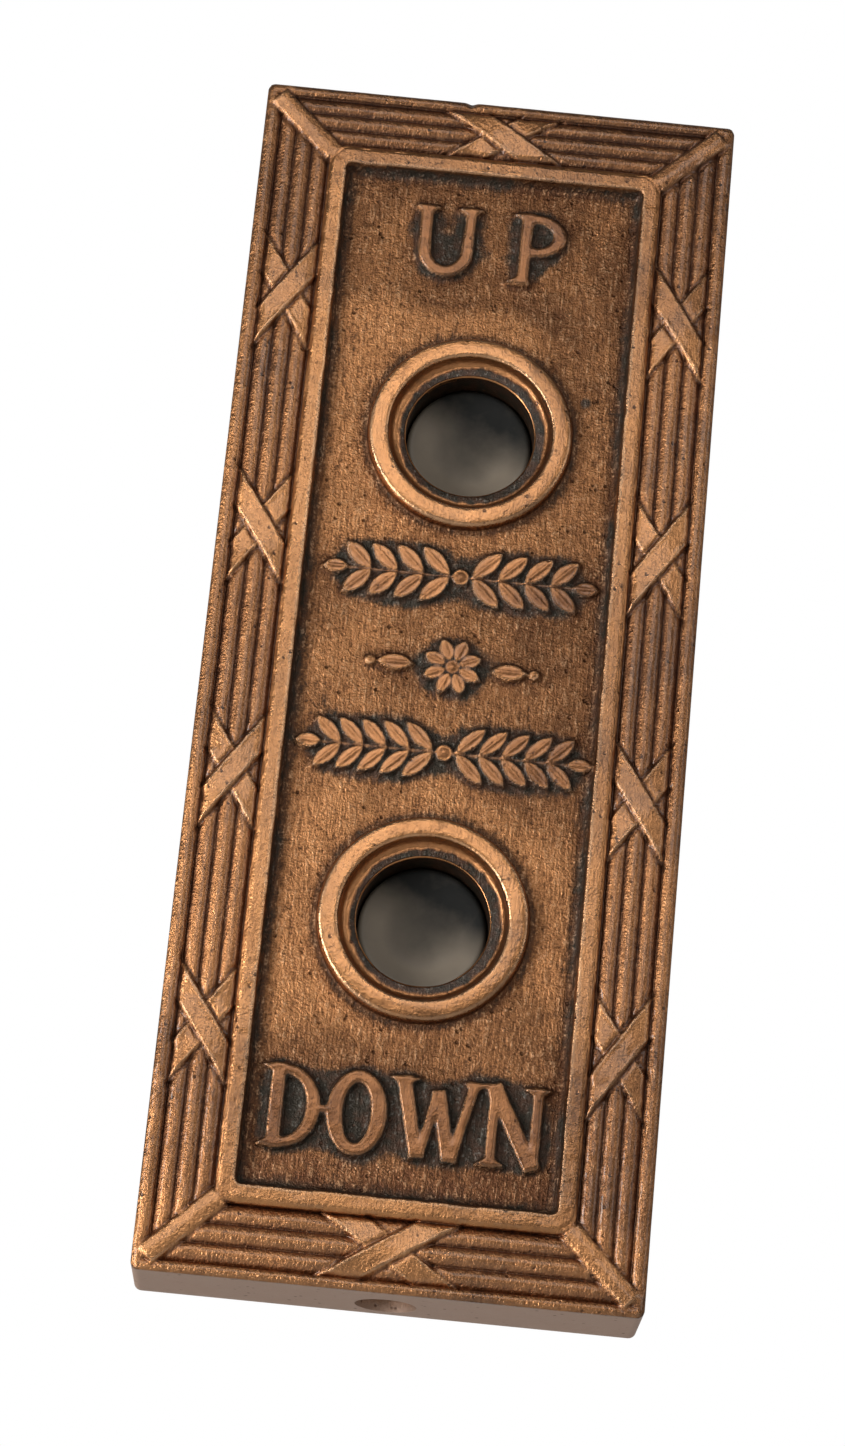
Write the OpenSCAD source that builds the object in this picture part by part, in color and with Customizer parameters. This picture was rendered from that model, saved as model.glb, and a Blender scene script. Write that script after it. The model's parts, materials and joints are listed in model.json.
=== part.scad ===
// Hall call station for a lift: a deep cast bronze cover with a reed and ribbon border,
// two recessed push buttons, and a contact unit behind each button.
// Every piece is drawn flat, seen from the front: X to the right, Y up the plate and
// Z from the wall towards the person. stand() then turns it upright, so that the part
// has +Z up and its face towards -Y. The origin is the middle of the wall face.

/* [Cover] */
// Width of the cover over the border
plate_w = 89; // [80:1:100]
// Height of the cover over the border
plate_h = 229; // [214:1:245]
// Depth from the wall to the top of the border
plate_d = 20; // [19:0.5:22]
// Thickness of the side walls
wall = 3.6; // [3:0.2:4.4]
// Thickness of the face at the sunk field
face_t = 3.6; // [3:0.2:4.4]
// How far the field lies below the border
field_sink = 2.4; // [1.8:0.2:2.8]
// Radius of the upright corners
corner_r = 1.4; // [0.6:0.2:2]

/* [Border] */
// Width of the border on the long sides and along the bottom
border_w = 16.4; // [15.6:0.2:17.6]
// Width of the border along the top
top_w = 15.2; // [14.6:0.2:17.6]
// Width of the outer bead
bead_w = 2.6; // [2:0.1:3]
// Width of the smooth band next to the field
band_w = 3.5; // [3:0.1:4]
// Reeds side by side in the border
reeds = 3; // [3:1:5]
// Width of a ribbon
ribbon_w = 4.3; // [3:0.1:4.6]
// Angle of the crossed ribbons to the reeds
tie_angle = 34; // [30:1:38]
// Distance between the ribbon ties on the long sides
tie_step = 47.2; // [44:0.2:50]
// How far the ties on the left side sit above the middle
left_tie_rise = 1; // [0:0.5:3]
// How far the ties on the right side sit above the middle
right_tie_rise = 2; // [0:0.5:3]

/* [Buttons] */
// Distance between the two buttons
button_step = 94; // [90:1:98]
// Radius of the finger openings at their lip
bore_r = 11.9; // [11.5:0.1:12.2]
// Outer radius of the raised ring round each opening
ring_r = 19; // [18.5:0.1:20]
// Height of the ring above the field
ring_rise = 2.4; // [1.8:0.2:2.6]
// Travel of a button
travel = 3; // [2:0.25:3]
// Gap all round a button in its opening
button_gap = 0.3; // [0.2:0.05:0.4]

/* [Fixing] */
// Distance between the wall screws across the plate
wall_step_x = 60; // [56:1:62]
// Distance between the wall screws up the plate
wall_step_y = 194; // [188:1:198]
// Radius of the wall screw holes
wall_hole_r = 2.6; // [2.2:0.1:2.8]
// Radius of the hole for the cover screw in the bottom edge
edge_hole_r = 5.45; // [5:0.05:5.6]

/* [Hidden] */
$fn = 96;
UNITS = ["upper", "lower"];
UNIT_PIECES = ["button", "plunger", "return_spring", "guide_bushing", "bushing_nut", "bridge",
    "contact_block", "contact_disc", "insulating_bush", "insulating_washer", "plunger_nut",
    "left_contact", "right_contact", "terminal_screws", "terminal_washers", "block_screws"];

// How far shapes that are joined run into each other
lap = 0.5;
half_w = plate_w / 2;
half_h = plate_h / 2;

// Levels in the cover, from the wall
field_z = plate_d - field_sink;
cavity_z = field_z - face_t;
reed_floor_z = plate_d - 1.4;
step_z = field_z - 0.9;
lip_z = field_z - 2;
collar_z = cavity_z - 4.4;
collar_r = 15.2;
boss_z = 3;
boss_r = 6.6;
boss_step = 18.6;
boss_hole_z = 12;

// Radius of the crown across the reeds, and the levels of the two crossed ribbons
crown_r = 22;
crown_top = plate_d + 0.3;
under_drop = 0.25;
corner_crown_r = 6;

// Border section: how far the bead and the middle reed lie below the band, and the
// radius of each arched top as a share of its width
bead_drop = 0.2;
reed_drop = 0.15;
bead_round = 0.64;
band_round = 0.9;
reed_round = 0.57;

// Section of the raised ring: a crowned land with a rounded edge on both sides
ring_in = ring_r - 4;
ring_crown_r = 7;
ring_edge_out = 1.2;
ring_edge_in = 0.6;
cove_r = 1.5;

// Back plate
back_t = 2.5;
back_gap = 0.5;
back_w = plate_w - 2 * (wall + back_gap);
back_h = plate_h - 2 * (wall + back_gap);
window_w = 51;
window_h = 172;
tongue_w = 24;
tongue_y = 101.5;
tongue_top = 110;
tongue_z = 4.5;
lip_w = 30;
lip_low_y = 105.5;
lip_low_z = 1.2;
lip_high_z = 4.2;
lug_w = 16;
lug_y = -103.9;
lug_z = 13;
edge_hole_z = 8.2;
pad_r = 8;
seat_y = -108.5;
cover_screw_r = 2.5;
cover_head_r = 4.6;
cover_head_h = 3;
screw_slot = 1.2;

// Push button and plunger
rim_z = 12;
dish = 1.4;
dish_r = 10.4;
flange_r = 13.2;
flange_top = collar_z - 0.1;
flange_low = boss_z + travel + 1;
recess_r = 6.2;
recess_z = 8.4;
hub_r = 3.8;
hub_z = 6;
rod_r = 2;
rod_top = 9.6;
rod_end = -13.2;
guide_gap = 0.05;
key_gap = 0.35;

// Bridge and bushing
bridge_w = 14;
bridge_t = 1.6;
foot_z = 1.4;
foot_in = 11;
foot_out = 25;
bushing_r = 4;
bushing_end = -5;
bushing_flange = 1;
nut_z = -4;

// Contact unit behind the bridge
collar_low = -6.6;
bush_low = -7.8;
disc_t = 1;
disc_r = 9.5;
disc_bore_r = 3.2;
bush_r = 6;
bushing_nut_r = 6.2;
plunger_nut_r = 4.2;
washer_low = -10;
nut_low = -12.2;
rivet_z = bush_low - disc_t - travel - 0.2;
strip_z = rivet_z - 1.4;
strip_t = 1;
strip_in = 6.8;
strip_out = 21;
strip_half = 3.5;
terminal_x = 18.2;
terminal_r = 1.5;
terminal_head_r = 2.8;
terminal_head_h = 2;
terminal_hole_r = 1.7;
washer_t = 0.6;
contact_x = 8.7;
slab_w = 44;
tower_w = 29;
block_h = 50;
well_r = 12;
well_floor = rod_end - travel - 1;
block_back = -20;
seat_z = -15;
block_hole_r = 2.2;
head_well_r = 4.2;
block_head_r = 3.8;
block_head_h = 2.8;

// Return spring
wire_r = 0.35;
coil_r = 5;
turns = 4.5;
closed_turns = 0.75;
ring_steps = 16;
wire_sides = 6;

bronze = "#8f6238";
black = "#2a2726";
brass = "#b59352";
steel = "#8d8f92";
copper = "#b4693f";
fibre = "#7a3b2a";

module stand() {
    rotate([90, 0, 0]) children();
}

module at_unit(unit) {
    translate([0, (unit == "upper" ? 1 : -1) * button_step / 2, 0]) children();
}

// A flat outline drawn up from one level to another
module slab(low, high) {
    translate([0, 0, low]) linear_extrude(high - low) children();
}

module rod(r, low, high, x = 0, y = 0) {
    translate([x, y, low]) cylinder(r = r, h = high - low);
}

module rounded_plan(w, h, r) {
    square([w - 2 * r, h], center = true);
    square([w, h - 2 * r], center = true);
    for (x = [-1, 1], y = [-1, 1])
        translate([x * (w / 2 - r), y * (h / 2 - r)]) circle(r);
}

// The two places of the casting's bosses above and below an opening
module at_bosses() {
    for (side = [-1, 1])
        translate([0, side * boss_step, 0]) children();
}

// An arched top of the given width, whose sides stand straight
module arched(mid, width, top, r) {
    intersection() {
        translate([mid - width / 2, cavity_z]) square([width, plate_d]);
        translate([mid, top - r]) circle(r);
    }
}

// Width of all the reeds of a border, and how far their middle is from its outer edge
function reed_band(width) = width - bead_w - band_w;
function reed_mid(width) = bead_w + reed_band(width) / 2;

// Section through a border of the given width, with its outer edge at x = 0
module border_section(width) {
    pitch = reed_band(width) / reeds;
    reed_r = pitch * reed_round;
    translate([-width, cavity_z + 1]) square([width, reed_floor_z - cavity_z - 1]);
    translate([-bead_w, cavity_z + 1]) square([bead_w, plate_d - 2 - cavity_z]);
    arched(-bead_w / 2, bead_w, plate_d - bead_drop, bead_w * bead_round);
    arched(band_w / 2 - width, band_w, plate_d, band_w * band_round);
    for (i = [0 : reeds - 1]) {
        from_mid = (i + 0.5) * pitch - reed_band(width) / 2;
        crest = plate_d - reed_drop - pow(from_mid, 2) / (2 * crown_r);
        translate([-reed_mid(width) + from_mid, crest - reed_r]) circle(reed_r);
    }
}

// One side of the border along y, with its outer edge at x = edge. Its mitres run in to
// the corners of the field, by the widths of the sides that it meets
module border_side(edge, half, width, low_w, high_w) {
    intersection() {
        translate([edge, 0, 0])
            rotate([90, 0, 0]) linear_extrude(2 * half, center = true) border_section(width);
        linear_extrude(2 * plate_d)
            polygon([[edge, -half], [edge, half],
                [edge - width, half - high_w], [edge - width, low_w - half]]);
    }
}

// Two ribbons crossed over the reeds at height y, the second lying on the first
module ribbon_tie(edge, y, width, turn) {
    for (layer = [0, 1]) {
        tilt = (layer == 0 ? turn : -turn) * tie_angle;
        top = crown_top - (layer == 0 ? under_drop : 0);
        reach = 2 * reed_band(width) / tan(tie_angle);
        translate([edge - reed_mid(width), y, 0]) intersection() {
            translate([0, 0, top - crown_r])
                rotate([90, 0, 0]) cylinder(r = crown_r, h = reach, center = true, $fn = 180);
            slab(reed_floor_z - lap, crown_top + lap) intersection() {
                square([reed_band(width) + 0.3, reach], center = true);
                rotate(tilt) square([ribbon_w, 2 * reach], center = true);
            }
        }
    }
}

// A ribbon laid along the mitre of a corner of the border, whose other side has this width
module corner_ribbon(end_w) {
    inner = [half_w - border_w + band_w, half_h - end_w + band_w];
    outer = [half_w - bead_w / 2, half_h - bead_w / 2];
    run = norm(outer - inner);
    translate((inner + outer) / 2)
        rotate(atan2(outer[1] - inner[1], outer[0] - inner[0]))
            intersection() {
                translate([0, 0, crown_top - corner_crown_r])
                    rotate([0, 90, 0]) cylinder(r = corner_crown_r, h = run + ribbon_w, center = true);
                slab(reed_floor_z - lap, crown_top + lap) square([run, ribbon_w], center = true);
            }
}

module border() {
    border_side(half_w, half_h, border_w, border_w, top_w);
    rotate(180) border_side(half_w, half_h, border_w, top_w, border_w);
    rotate(90) border_side(half_h, half_w, top_w, border_w, border_w);
    rotate(270) border_side(half_h, half_w, border_w, border_w, border_w);
}

// From tie to tie along a side, the ribbon that lies on top changes
module ribbons() {
    for (i = [-1.5 : 1 : 1.5]) {
        turn = (i + 1.5) % 2 == 0 ? 1 : -1;
        ribbon_tie(half_w, i * tie_step + right_tie_rise, border_w, turn);
        rotate(180) ribbon_tie(half_w, i * tie_step - left_tie_rise, border_w, turn);
    }
    rotate(90) ribbon_tie(half_h, 0, top_w, 1);
    rotate(270) ribbon_tie(half_h, 0, border_w, -1);
    for (flip = [0, 1])
        mirror([flip, 0, 0]) {
            corner_ribbon(top_w);
            mirror([0, 1, 0]) corner_ribbon(border_w);
        }
}

// Raised ring round an opening, which stands in the field
module ring() {
    top = field_z + ring_rise;
    foot = cavity_z + 1;
    land = ring_r - ring_in - ring_edge_out;
    rotate_extrude($fn = 180) intersection() {
        union() {
            translate([ring_in, foot]) square([ring_r - ring_in, top - ring_edge_out - foot]);
            translate([ring_in, foot]) square([land, top - ring_edge_in - foot]);
            translate([ring_in + ring_edge_in, foot]) square([land - ring_edge_in, top - foot]);
            translate([ring_r - ring_edge_out, top - ring_edge_out]) circle(ring_edge_out);
            translate([ring_in + ring_edge_in, top - ring_edge_in]) circle(ring_edge_in);
        }
        translate([(ring_in + ring_r) / 2, top - ring_crown_r]) circle(ring_crown_r, $fn = 360);
    }
}

// Everything that an opening takes away: the cove inside the ring, the sloping step,
// the lip and the bore behind it
module opening_cut() {
    cove_in = ring_in - cove_r;
    rotate_extrude($fn = 180) {
        polygon([[0, plate_d + 5], [ring_in, plate_d + 5], [ring_in, step_z + cove_r],
            [cove_in, step_z], [bore_r, lip_z], [bore_r, -1], [0, -1]]);
        translate([cove_in, step_z + cove_r]) circle(cove_r);
    }
}

module cover() {
    color(bronze) difference() {
        union() {
            difference() {
                slab(0, reed_floor_z) rounded_plan(plate_w, plate_h, corner_r);
                slab(field_z, plate_d)
                    translate([border_w - half_w, border_w - half_h])
                        square([plate_w - 2 * border_w, plate_h - top_w - border_w]);
                slab(-1, cavity_z) square([plate_w - 2 * wall, plate_h - 2 * wall], center = true);
            }
            intersection() {
                union() {
                    border();
                    ribbons();
                }
                slab(0, 2 * plate_d) rounded_plan(plate_w, plate_h, corner_r);
            }
            for (unit = UNITS)
                at_unit(unit) {
                    ring();
                    rod(collar_r, collar_z, cavity_z + 1);
                    at_bosses() rod(boss_r, boss_z, cavity_z + 1);
                }
            edge_screw_pad();
            hook_lip();
        }
        for (unit = UNITS)
            at_unit(unit) {
                opening_cut();
                at_bosses() rod(rod_r, boss_z - 1, boss_hole_z);
            }
        edge_screw_hole();
    }
}

// Thick pad inside the bottom wall, on which the cover screw pulls
module edge_screw_pad() {
    translate([0, -half_h + wall - 1, edge_hole_z])
        rotate([-90, 0, 0]) cylinder(r = pad_r, h = lug_y + half_h - wall + 1);
}

module edge_screw_hole() {
    translate([0, -half_h - 1, edge_hole_z]) rotate([-90, 0, 0]) {
        cylinder(r = edge_hole_r, h = seat_y + half_h + 1);
        cylinder(r = wall_hole_r, h = 20);
    }
}

// Lip inside the top wall that hangs behind the tongue of the back plate
module hook_lip() {
    slab(lip_low_z, lip_high_z)
        translate([-lip_w / 2, lip_low_y]) square([lip_w, half_h - wall + 1 - lip_low_y]);
}

module back_plate() {
    color(steel) difference() {
        union() {
            difference() {
                slab(0, back_t) rounded_plan(back_w, back_h, 3);
                slab(-1, back_t + 1) {
                    square([window_w, window_h], center = true);
                    translate([-lip_w / 2 - 1, tongue_y + back_t]) square([lip_w + 2, 20]);
                    translate([-lug_w / 2 - 1.5, -half_h]) square([lug_w + 3, half_h + lug_y]);
                }
            }
            slab(0, tongue_z + back_t)
                translate([-tongue_w / 2, tongue_y]) square([tongue_w, back_t]);
            slab(tongue_z, tongue_z + back_t)
                translate([-tongue_w / 2, tongue_y]) square([tongue_w, tongue_top - tongue_y]);
            slab(0, lug_z)
                translate([-lug_w / 2, lug_y]) square([lug_w, back_t]);
        }
        for (x = [-1, 1], y = [-1, 1])
            rod(wall_hole_r, -1, back_t + 1, x * wall_step_x / 2, y * wall_step_y / 2);
        translate([0, lug_y - 1, edge_hole_z]) rotate([-90, 0, 0]) cylinder(r = cover_screw_r, h = back_t + 2);
    }
}

// Fillister screw that goes up through the bottom edge into the lug
module cover_screw() {
    color(brass) translate([0, seat_y, edge_hole_z]) difference() {
        union() {
            rotate([90, 0, 0]) cylinder(r = cover_head_r, h = cover_head_h);
            rotate([-90, 0, 0]) cylinder(r = cover_screw_r, h = 9.5);
        }
        translate([0, -cover_head_h, 0]) cube([20, 2 * screw_slot, screw_slot], center = true);
    }
}

// Moulded button: dished face, skirt in the bore, and a flange keyed round the bosses
module button() {
    skirt_r = bore_r - button_gap;
    dish_ball_r = (pow(dish_r, 2) + pow(dish, 2)) / (2 * dish);
    color(black) difference() {
        rotate_extrude($fn = 180) difference() {
            polygon([[0, rod_top], [0, rim_z], [dish_r, rim_z], [skirt_r - 0.4, rim_z - 0.25],
                [skirt_r, rim_z - 0.8], [skirt_r, flange_top], [flange_r, flange_top],
                [flange_r, flange_low], [recess_r, flange_low], [recess_r, recess_z],
                [hub_r, recess_z], [hub_r, hub_z], [rod_r, hub_z], [rod_r, rod_top]]);
            translate([0, rim_z - dish + dish_ball_r]) circle(dish_ball_r, $fn = 360);
        }
        at_bosses() rod(boss_r + key_gap, flange_low - 1, flange_top + 0.01);
    }
}

// Stem of the button, with a collar that backs the contact disc
module plunger() {
    color(brass) {
        rod(rod_r, rod_end, rod_top);
        rod(disc_bore_r, collar_low, collar_low + 1);
    }
}

module ring_piece(r, bore, low, high) {
    difference() {
        rod(r, low, high);
        rod(bore, low - 1, high + 1);
    }
}

module guide_bushing() {
    color(brass) difference() {
        union() {
            rod(recess_r, 0, bushing_flange);
            rod(bushing_r, bushing_end, lap);
        }
        rod(rod_r + guide_gap, bushing_end - 1, 2);
    }
}

module hex_nut(r, bore, low, high) {
    difference() {
        translate([0, 0, low]) cylinder(r = r, h = high - low, $fn = 6);
        rod(bore, low - 1, high + 1);
    }
}

module bushing_nut() {
    color(brass) hex_nut(bushing_nut_r, bushing_r, nut_z, -bridge_t);
}

// Strap that spans the two bosses and steps back in the middle to carry the bushing
module bridge() {
    half = [[foot_in - bridge_t, 0], [foot_in - bridge_t, boss_z], [foot_out, boss_z],
        [foot_out, foot_z], [foot_in, foot_z], [foot_in, -bridge_t]];
    color(steel) difference() {
        rotate([90, 0, 90]) linear_extrude(bridge_w, center = true)
            polygon(concat(half, [for (i = [len(half) - 1 : -1 : 0]) [-half[i][0], half[i][1]]]));
        rod(bushing_r, -bridge_t - 1, 1);
        at_bosses() rod(block_hole_r, 0, boss_z + 1);
    }
}

// Moulded block with a round well for the disc and a shoulder for each terminal
module contact_block() {
    slot_z = rivet_z + 0.4;
    color(black) difference() {
        union() {
            slab(block_back, strip_z) rounded_plan(slab_w, block_h, 2);
            slab(strip_z - 1, foot_z) rounded_plan(tower_w, block_h, 2);
        }
        rod(well_r, well_floor, foot_z + 1);
        slab(-bridge_t - 0.8, foot_z + 1) square([bridge_w + 0.8, 2 * foot_in + 0.8], center = true);
        slab(strip_z, slot_z) square([slab_w + 2, 2 * strip_half + 0.6], center = true);
        at_bosses() {
            rod(block_hole_r, block_back - 1, foot_z + 1);
            rod(head_well_r, block_back - 1, seat_z);
        }
        for (side = [-1, 1])
            rod(terminal_r, block_back + 1.5, strip_z + 1, side * terminal_x);
    }
}

module contact_disc() {
    color(copper) ring_piece(disc_r, disc_bore_r, bush_low - disc_t, bush_low);
}

// Shouldered fibre bush that keeps the disc clear of the plunger
module insulating_bush() {
    color(fibre) difference() {
        union() {
            rod(bush_r, bush_low, collar_low);
            rod(disc_bore_r, bush_low - disc_t, bush_low + lap);
        }
        rod(rod_r, bush_low - 3, 0);
    }
}

module insulating_washer() {
    color(fibre) ring_piece(bush_r, rod_r, washer_low, bush_low - disc_t);
}

module plunger_nut() {
    color(brass) hex_nut(plunger_nut_r, rod_r, nut_low, washer_low);
}

// Contact strip with a riveted button that the disc meets at full travel
module contact_strip() {
    color(copper) difference() {
        union() {
            slab(strip_z, strip_z + strip_t)
                translate([strip_in, -strip_half]) square([strip_out - strip_in, 2 * strip_half]);
            rod(terminal_hole_r, strip_z + 0.2, rivet_z - 0.2, contact_x);
        }
        rod(terminal_hole_r, strip_z - 1, strip_z + 3, terminal_x);
    }
}

module left_contact() {
    mirror([1, 0, 0]) contact_strip();
}

module terminal_screws() {
    head_low = strip_z + strip_t + washer_t;
    color(brass) for (side = [-1, 1])
        translate([side * terminal_x, 0, 0]) difference() {
            union() {
                rod(terminal_head_r, head_low, head_low + terminal_head_h);
                rod(terminal_r, block_back + 1.8, head_low + lap);
            }
            translate([0, 0, head_low + terminal_head_h]) cube([0.8, 20, 2], center = true);
        }
}

module terminal_washers() {
    color(brass) for (side = [-1, 1])
        translate([side * terminal_x, 0, 0])
            ring_piece(3.1, terminal_hole_r, strip_z + strip_t, strip_z + strip_t + washer_t);
}

// Long screws that hold the block and the bridge to the bosses, from behind
module block_screws() {
    color(steel) at_bosses() difference() {
        union() {
            rod(block_head_r, seat_z - block_head_h, seat_z);
            rod(rod_r, seat_z - lap, boss_hole_z - 1.5);
        }
        translate([0, 0, seat_z - block_head_h]) cube([20, 1, 2.4], center = true);
    }
}

// Height of the spring wire's middle after so many turns
function spring_z(t) =
    let (low = bushing_flange + wire_r + 0.05, high = recess_z - wire_r - 0.05,
        flat = closed_turns * (2 * wire_r + 0.06), open = turns - 2 * closed_turns)
    t < closed_turns ? low + flat * t / closed_turns
    : t > turns - closed_turns ? high - flat * (turns - t) / closed_turns
    : low + flat + (high - low - 2 * flat) * (t - closed_turns) / open;

module return_spring() {
    rings = turns * ring_steps;
    points = [for (i = [0 : rings], j = [0 : wire_sides - 1])
        let (a = 360 * i / ring_steps, b = 360 * j / wire_sides, r = coil_r + wire_r * cos(b))
        [r * cos(a), r * sin(a), spring_z(i / ring_steps) + wire_r * sin(b)]];
    sides = [for (i = [0 : rings - 1], j = [0 : wire_sides - 1])
        let (k = (j + 1) % wire_sides, here = i * wire_sides, next = here + wire_sides)
        [here + j, here + k, next + k, next + j]];
    first = [for (j = [wire_sides - 1 : -1 : 0]) j];
    last = [for (j = [0 : wire_sides - 1]) rings * wire_sides + j];
    color(steel) polyhedron(points, concat([first], sides, [last]), convexity = 8);
}

stand() cover();
stand() back_plate();
stand() cover_screw();
for (unit = UNITS) {
    stand() at_unit(unit) button();
    stand() at_unit(unit) plunger();
    stand() at_unit(unit) return_spring();
    stand() at_unit(unit) guide_bushing();
    stand() at_unit(unit) bushing_nut();
    stand() at_unit(unit) bridge();
    stand() at_unit(unit) contact_block();
    stand() at_unit(unit) contact_disc();
    stand() at_unit(unit) insulating_bush();
    stand() at_unit(unit) insulating_washer();
    stand() at_unit(unit) plunger_nut();
    stand() at_unit(unit) left_contact();
    stand() at_unit(unit) contact_strip();
    stand() at_unit(unit) terminal_screws();
    stand() at_unit(unit) terminal_washers();
    stand() at_unit(unit) block_screws();
}
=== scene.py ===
import json
import math

import bmesh
import bpy
import numpy as np
from mathutils import Matrix, Vector


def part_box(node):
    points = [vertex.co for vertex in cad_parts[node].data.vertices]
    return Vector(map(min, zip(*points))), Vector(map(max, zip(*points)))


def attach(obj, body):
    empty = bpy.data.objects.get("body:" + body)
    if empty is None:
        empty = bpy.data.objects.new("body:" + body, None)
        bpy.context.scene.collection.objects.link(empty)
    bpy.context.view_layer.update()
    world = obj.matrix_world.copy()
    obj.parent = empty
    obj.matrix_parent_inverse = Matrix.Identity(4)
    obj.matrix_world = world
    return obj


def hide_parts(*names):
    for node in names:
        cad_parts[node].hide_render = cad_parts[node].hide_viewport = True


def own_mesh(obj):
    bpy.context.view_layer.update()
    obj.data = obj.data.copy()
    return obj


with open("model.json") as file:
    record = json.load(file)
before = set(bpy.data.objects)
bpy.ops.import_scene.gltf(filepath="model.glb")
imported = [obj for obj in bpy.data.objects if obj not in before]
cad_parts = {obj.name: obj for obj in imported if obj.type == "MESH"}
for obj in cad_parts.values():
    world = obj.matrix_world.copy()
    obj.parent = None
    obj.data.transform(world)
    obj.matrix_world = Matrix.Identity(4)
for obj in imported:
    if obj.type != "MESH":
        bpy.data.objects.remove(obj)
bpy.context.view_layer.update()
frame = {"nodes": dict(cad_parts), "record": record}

bl_info = {
    "name": "Cast call plate",
    "version": (1, 0, 0),
    "blender": (4, 5, 0),
    "location": "View3D > Sidebar > Call plate",
    "description": "Finishes a cast bronze hall call plate for a lift, with two recessed push buttons",
    "category": "Add Mesh",
}

MM = 0.001
UNITS = ("upper", "lower")
COVER_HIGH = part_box("cover")[1]
OPENINGS = [sum(corner.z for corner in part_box(f"button_{unit}")) / 2 / MM for unit in UNITS]


def length_prop(name, description, default):
    return bpy.props.FloatProperty(name=name, description=description, default=default, unit="LENGTH")


def colour_prop(name, description, *default):
    return bpy.props.FloatVectorProperty(
        name=name, description=description, default=default, size=3, subtype="COLOR")


def power_prop(name, description, default):
    return bpy.props.FloatProperty(name=name, description=description, default=default, subtype="POWER")


class PlateSizes(bpy.types.PropertyGroup):
    """Sizes of the casting's relief, which is drawn on the plain cover"""

    side_border: length_prop("Side border", "Width of the border on the long sides", 0.0164)
    top_border: length_prop("Top border", "Width of the border along the top", 0.0151)
    side_bead: length_prop("Side bead", "Width of the outer bead on the long sides", 0.0028)
    end_bead: length_prop("End bead", "Width of the outer bead at top and bottom", 0.002)
    band: length_prop("Band", "Width of the smooth band next to the field", 0.0035)
    ribbon: length_prop("Ribbon", "Width of a crossed ribbon", 0.0044)
    ribbon_angle: bpy.props.FloatProperty(
        name="Ribbon angle", description="Angle of the crossed ribbons to the reeds",
        default=math.radians(34), subtype="ANGLE")
    tie_step: length_prop("Tie step", "Distance between the ties on the long sides", 0.0472)
    field_depth: length_prop("Field depth", "How far the field lies below the border", 0.0024)
    letter_rise: length_prop("Letter rise", "Height of the letters above the field", 0.00145)
    grid: length_prop("Grid", "Size of the mesh in the relief of the face", 0.00028)


class PlateColours(bpy.types.PropertyGroup):
    """Colours of the finishes"""

    bronze: colour_prop("Bronze", "Worn metal of the field and the border", 0.51, 0.225, 0.09)
    polished: colour_prop("Polished bronze", "High spots that hands have polished", 0.56, 0.26, 0.103)
    bright: colour_prop("Bright edge", "Pinkish metal of the sharpest edges", 0.60, 0.35, 0.19)
    brown: colour_prop("Brown", "Brown film in the hollows", 0.085, 0.036, 0.019)
    verdigris: colour_prop("Dark green", "Green black film round the letters", 0.026, 0.021, 0.0135)
    reddish: colour_prop("Reddish brown", "Copper red film in patches", 0.22, 0.085, 0.045)
    glint: colour_prop("Glint", "Grey glints in the dark film", 0.2, 0.19, 0.165)
    dull: colour_prop("Dull side", "Grey brown film of the plate's side walls", 0.49, 0.335, 0.255)
    button: colour_prop("Button", "Dark moulding of the buttons", 0.19, 0.155, 0.115)
    button_shade: colour_prop("Button grime", "Black grime at the top of each button", 0.006, 0.006, 0.005)
    block: colour_prop("Block", "Black moulding of the contact blocks", 0.035, 0.031, 0.029)
    brass: colour_prop("Brass", "Turned brass", 0.66, 0.47, 0.21)
    steel: colour_prop("Steel", "Zinc plated steel", 0.5, 0.5, 0.48)
    wire: colour_prop("Wire", "Drawn steel wire of the springs", 0.42, 0.42, 0.42)
    copper: colour_prop("Copper", "Rolled copper strip", 0.72, 0.36, 0.22)
    fibre: colour_prop("Fibre", "Red vulcanised fibre", 0.3, 0.085, 0.05)
    floor: colour_prop("Floor", "Plain floor of the studio", 0.8, 0.8, 0.79)


class StudioLight(bpy.types.PropertyGroup):
    """Strength of the studio's lights"""

    key: power_prop("Key", "Soft light from the left", 12)
    front: power_prop("Front", "Large soft light above the camera", 3.9)
    fill: power_prop("Fill", "Weak light from the right", 1.5)
    bounce: power_prop("Bounce", "Light from the pale floor behind and below", 0.15)
    room: bpy.props.FloatProperty(
        name="Room", description="Brightness of the pale room", default=0.16, subtype="FACTOR")


def property_names(group):
    return [name for name in group.bl_rna.properties.keys() if name not in ("rna_type", "name")]


def sizes():
    """The relief's sizes by name, with lengths in millimetres"""
    held = bpy.context.scene.plate_sizes
    found = {name: getattr(held, name) for name in property_names(held)}
    return {name: value if name == "ribbon_angle" else value / MM for name, value in found.items()}


# Plate coordinates are in millimetres: x to the right, y up the plate, z out of the wall.
HALF_W = COVER_HIGH.x / MM
HALF_H = COVER_HIGH.z / MM
BORDER_Z = 20.0
CORNER_R = 1.4
CAVITY_Z = 14.0
COLLAR_Z = 9.6
BORE_R = 11.9
BEAD_DROP = 0.2
REED_DROP = 0.15
REEDS = 3
RIBBON_TOP = 20.3
UNDER_DROP = 0.3
CROWN_R = 22.0
# The sunk field, with its corners, and the step down to it
RECESS_R = 1.2
RECESS_TOP = 99.4
RECESS_LOW = -97.9
RECESS_HALF = HALF_W - 16.4
RIM_DROP = 0.35
# Middle of the ornament, and the heights of its sprays and its rosette
ORNAMENT_X = 0.8
SPRAYS_Y = (18.5, -15.5)
ROSETTE_Y = 1.0
# Square of the mesh round each opening, and the ring in it
WELL_HALF = 21.0
WELL_R = 19.8
# Stretch of the bottom wall in which the hole for the cover screw stays
EDGE_GAP = 9.0
EDGE_LOW = 1.5
EDGE_HIGH = 15.0
# Heights between which nothing fine crosses the face: from the first to the second, and the last two
PLAIN_ROWS = (-59.0, -34.5, 36.5, 60.0)
# Edges bent by more than this stay sharp
SHARP = math.radians(32)
FAR = 50.0


def ease(t):
    t = np.clip(t, 0, 1)
    return t * t * (3 - 2 * t)


def fade(d, reach):
    """Falls from 1 at d = 0 over about reach, and is 1 before it"""
    return np.exp(-np.maximum(d, 0) / reach)


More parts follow.
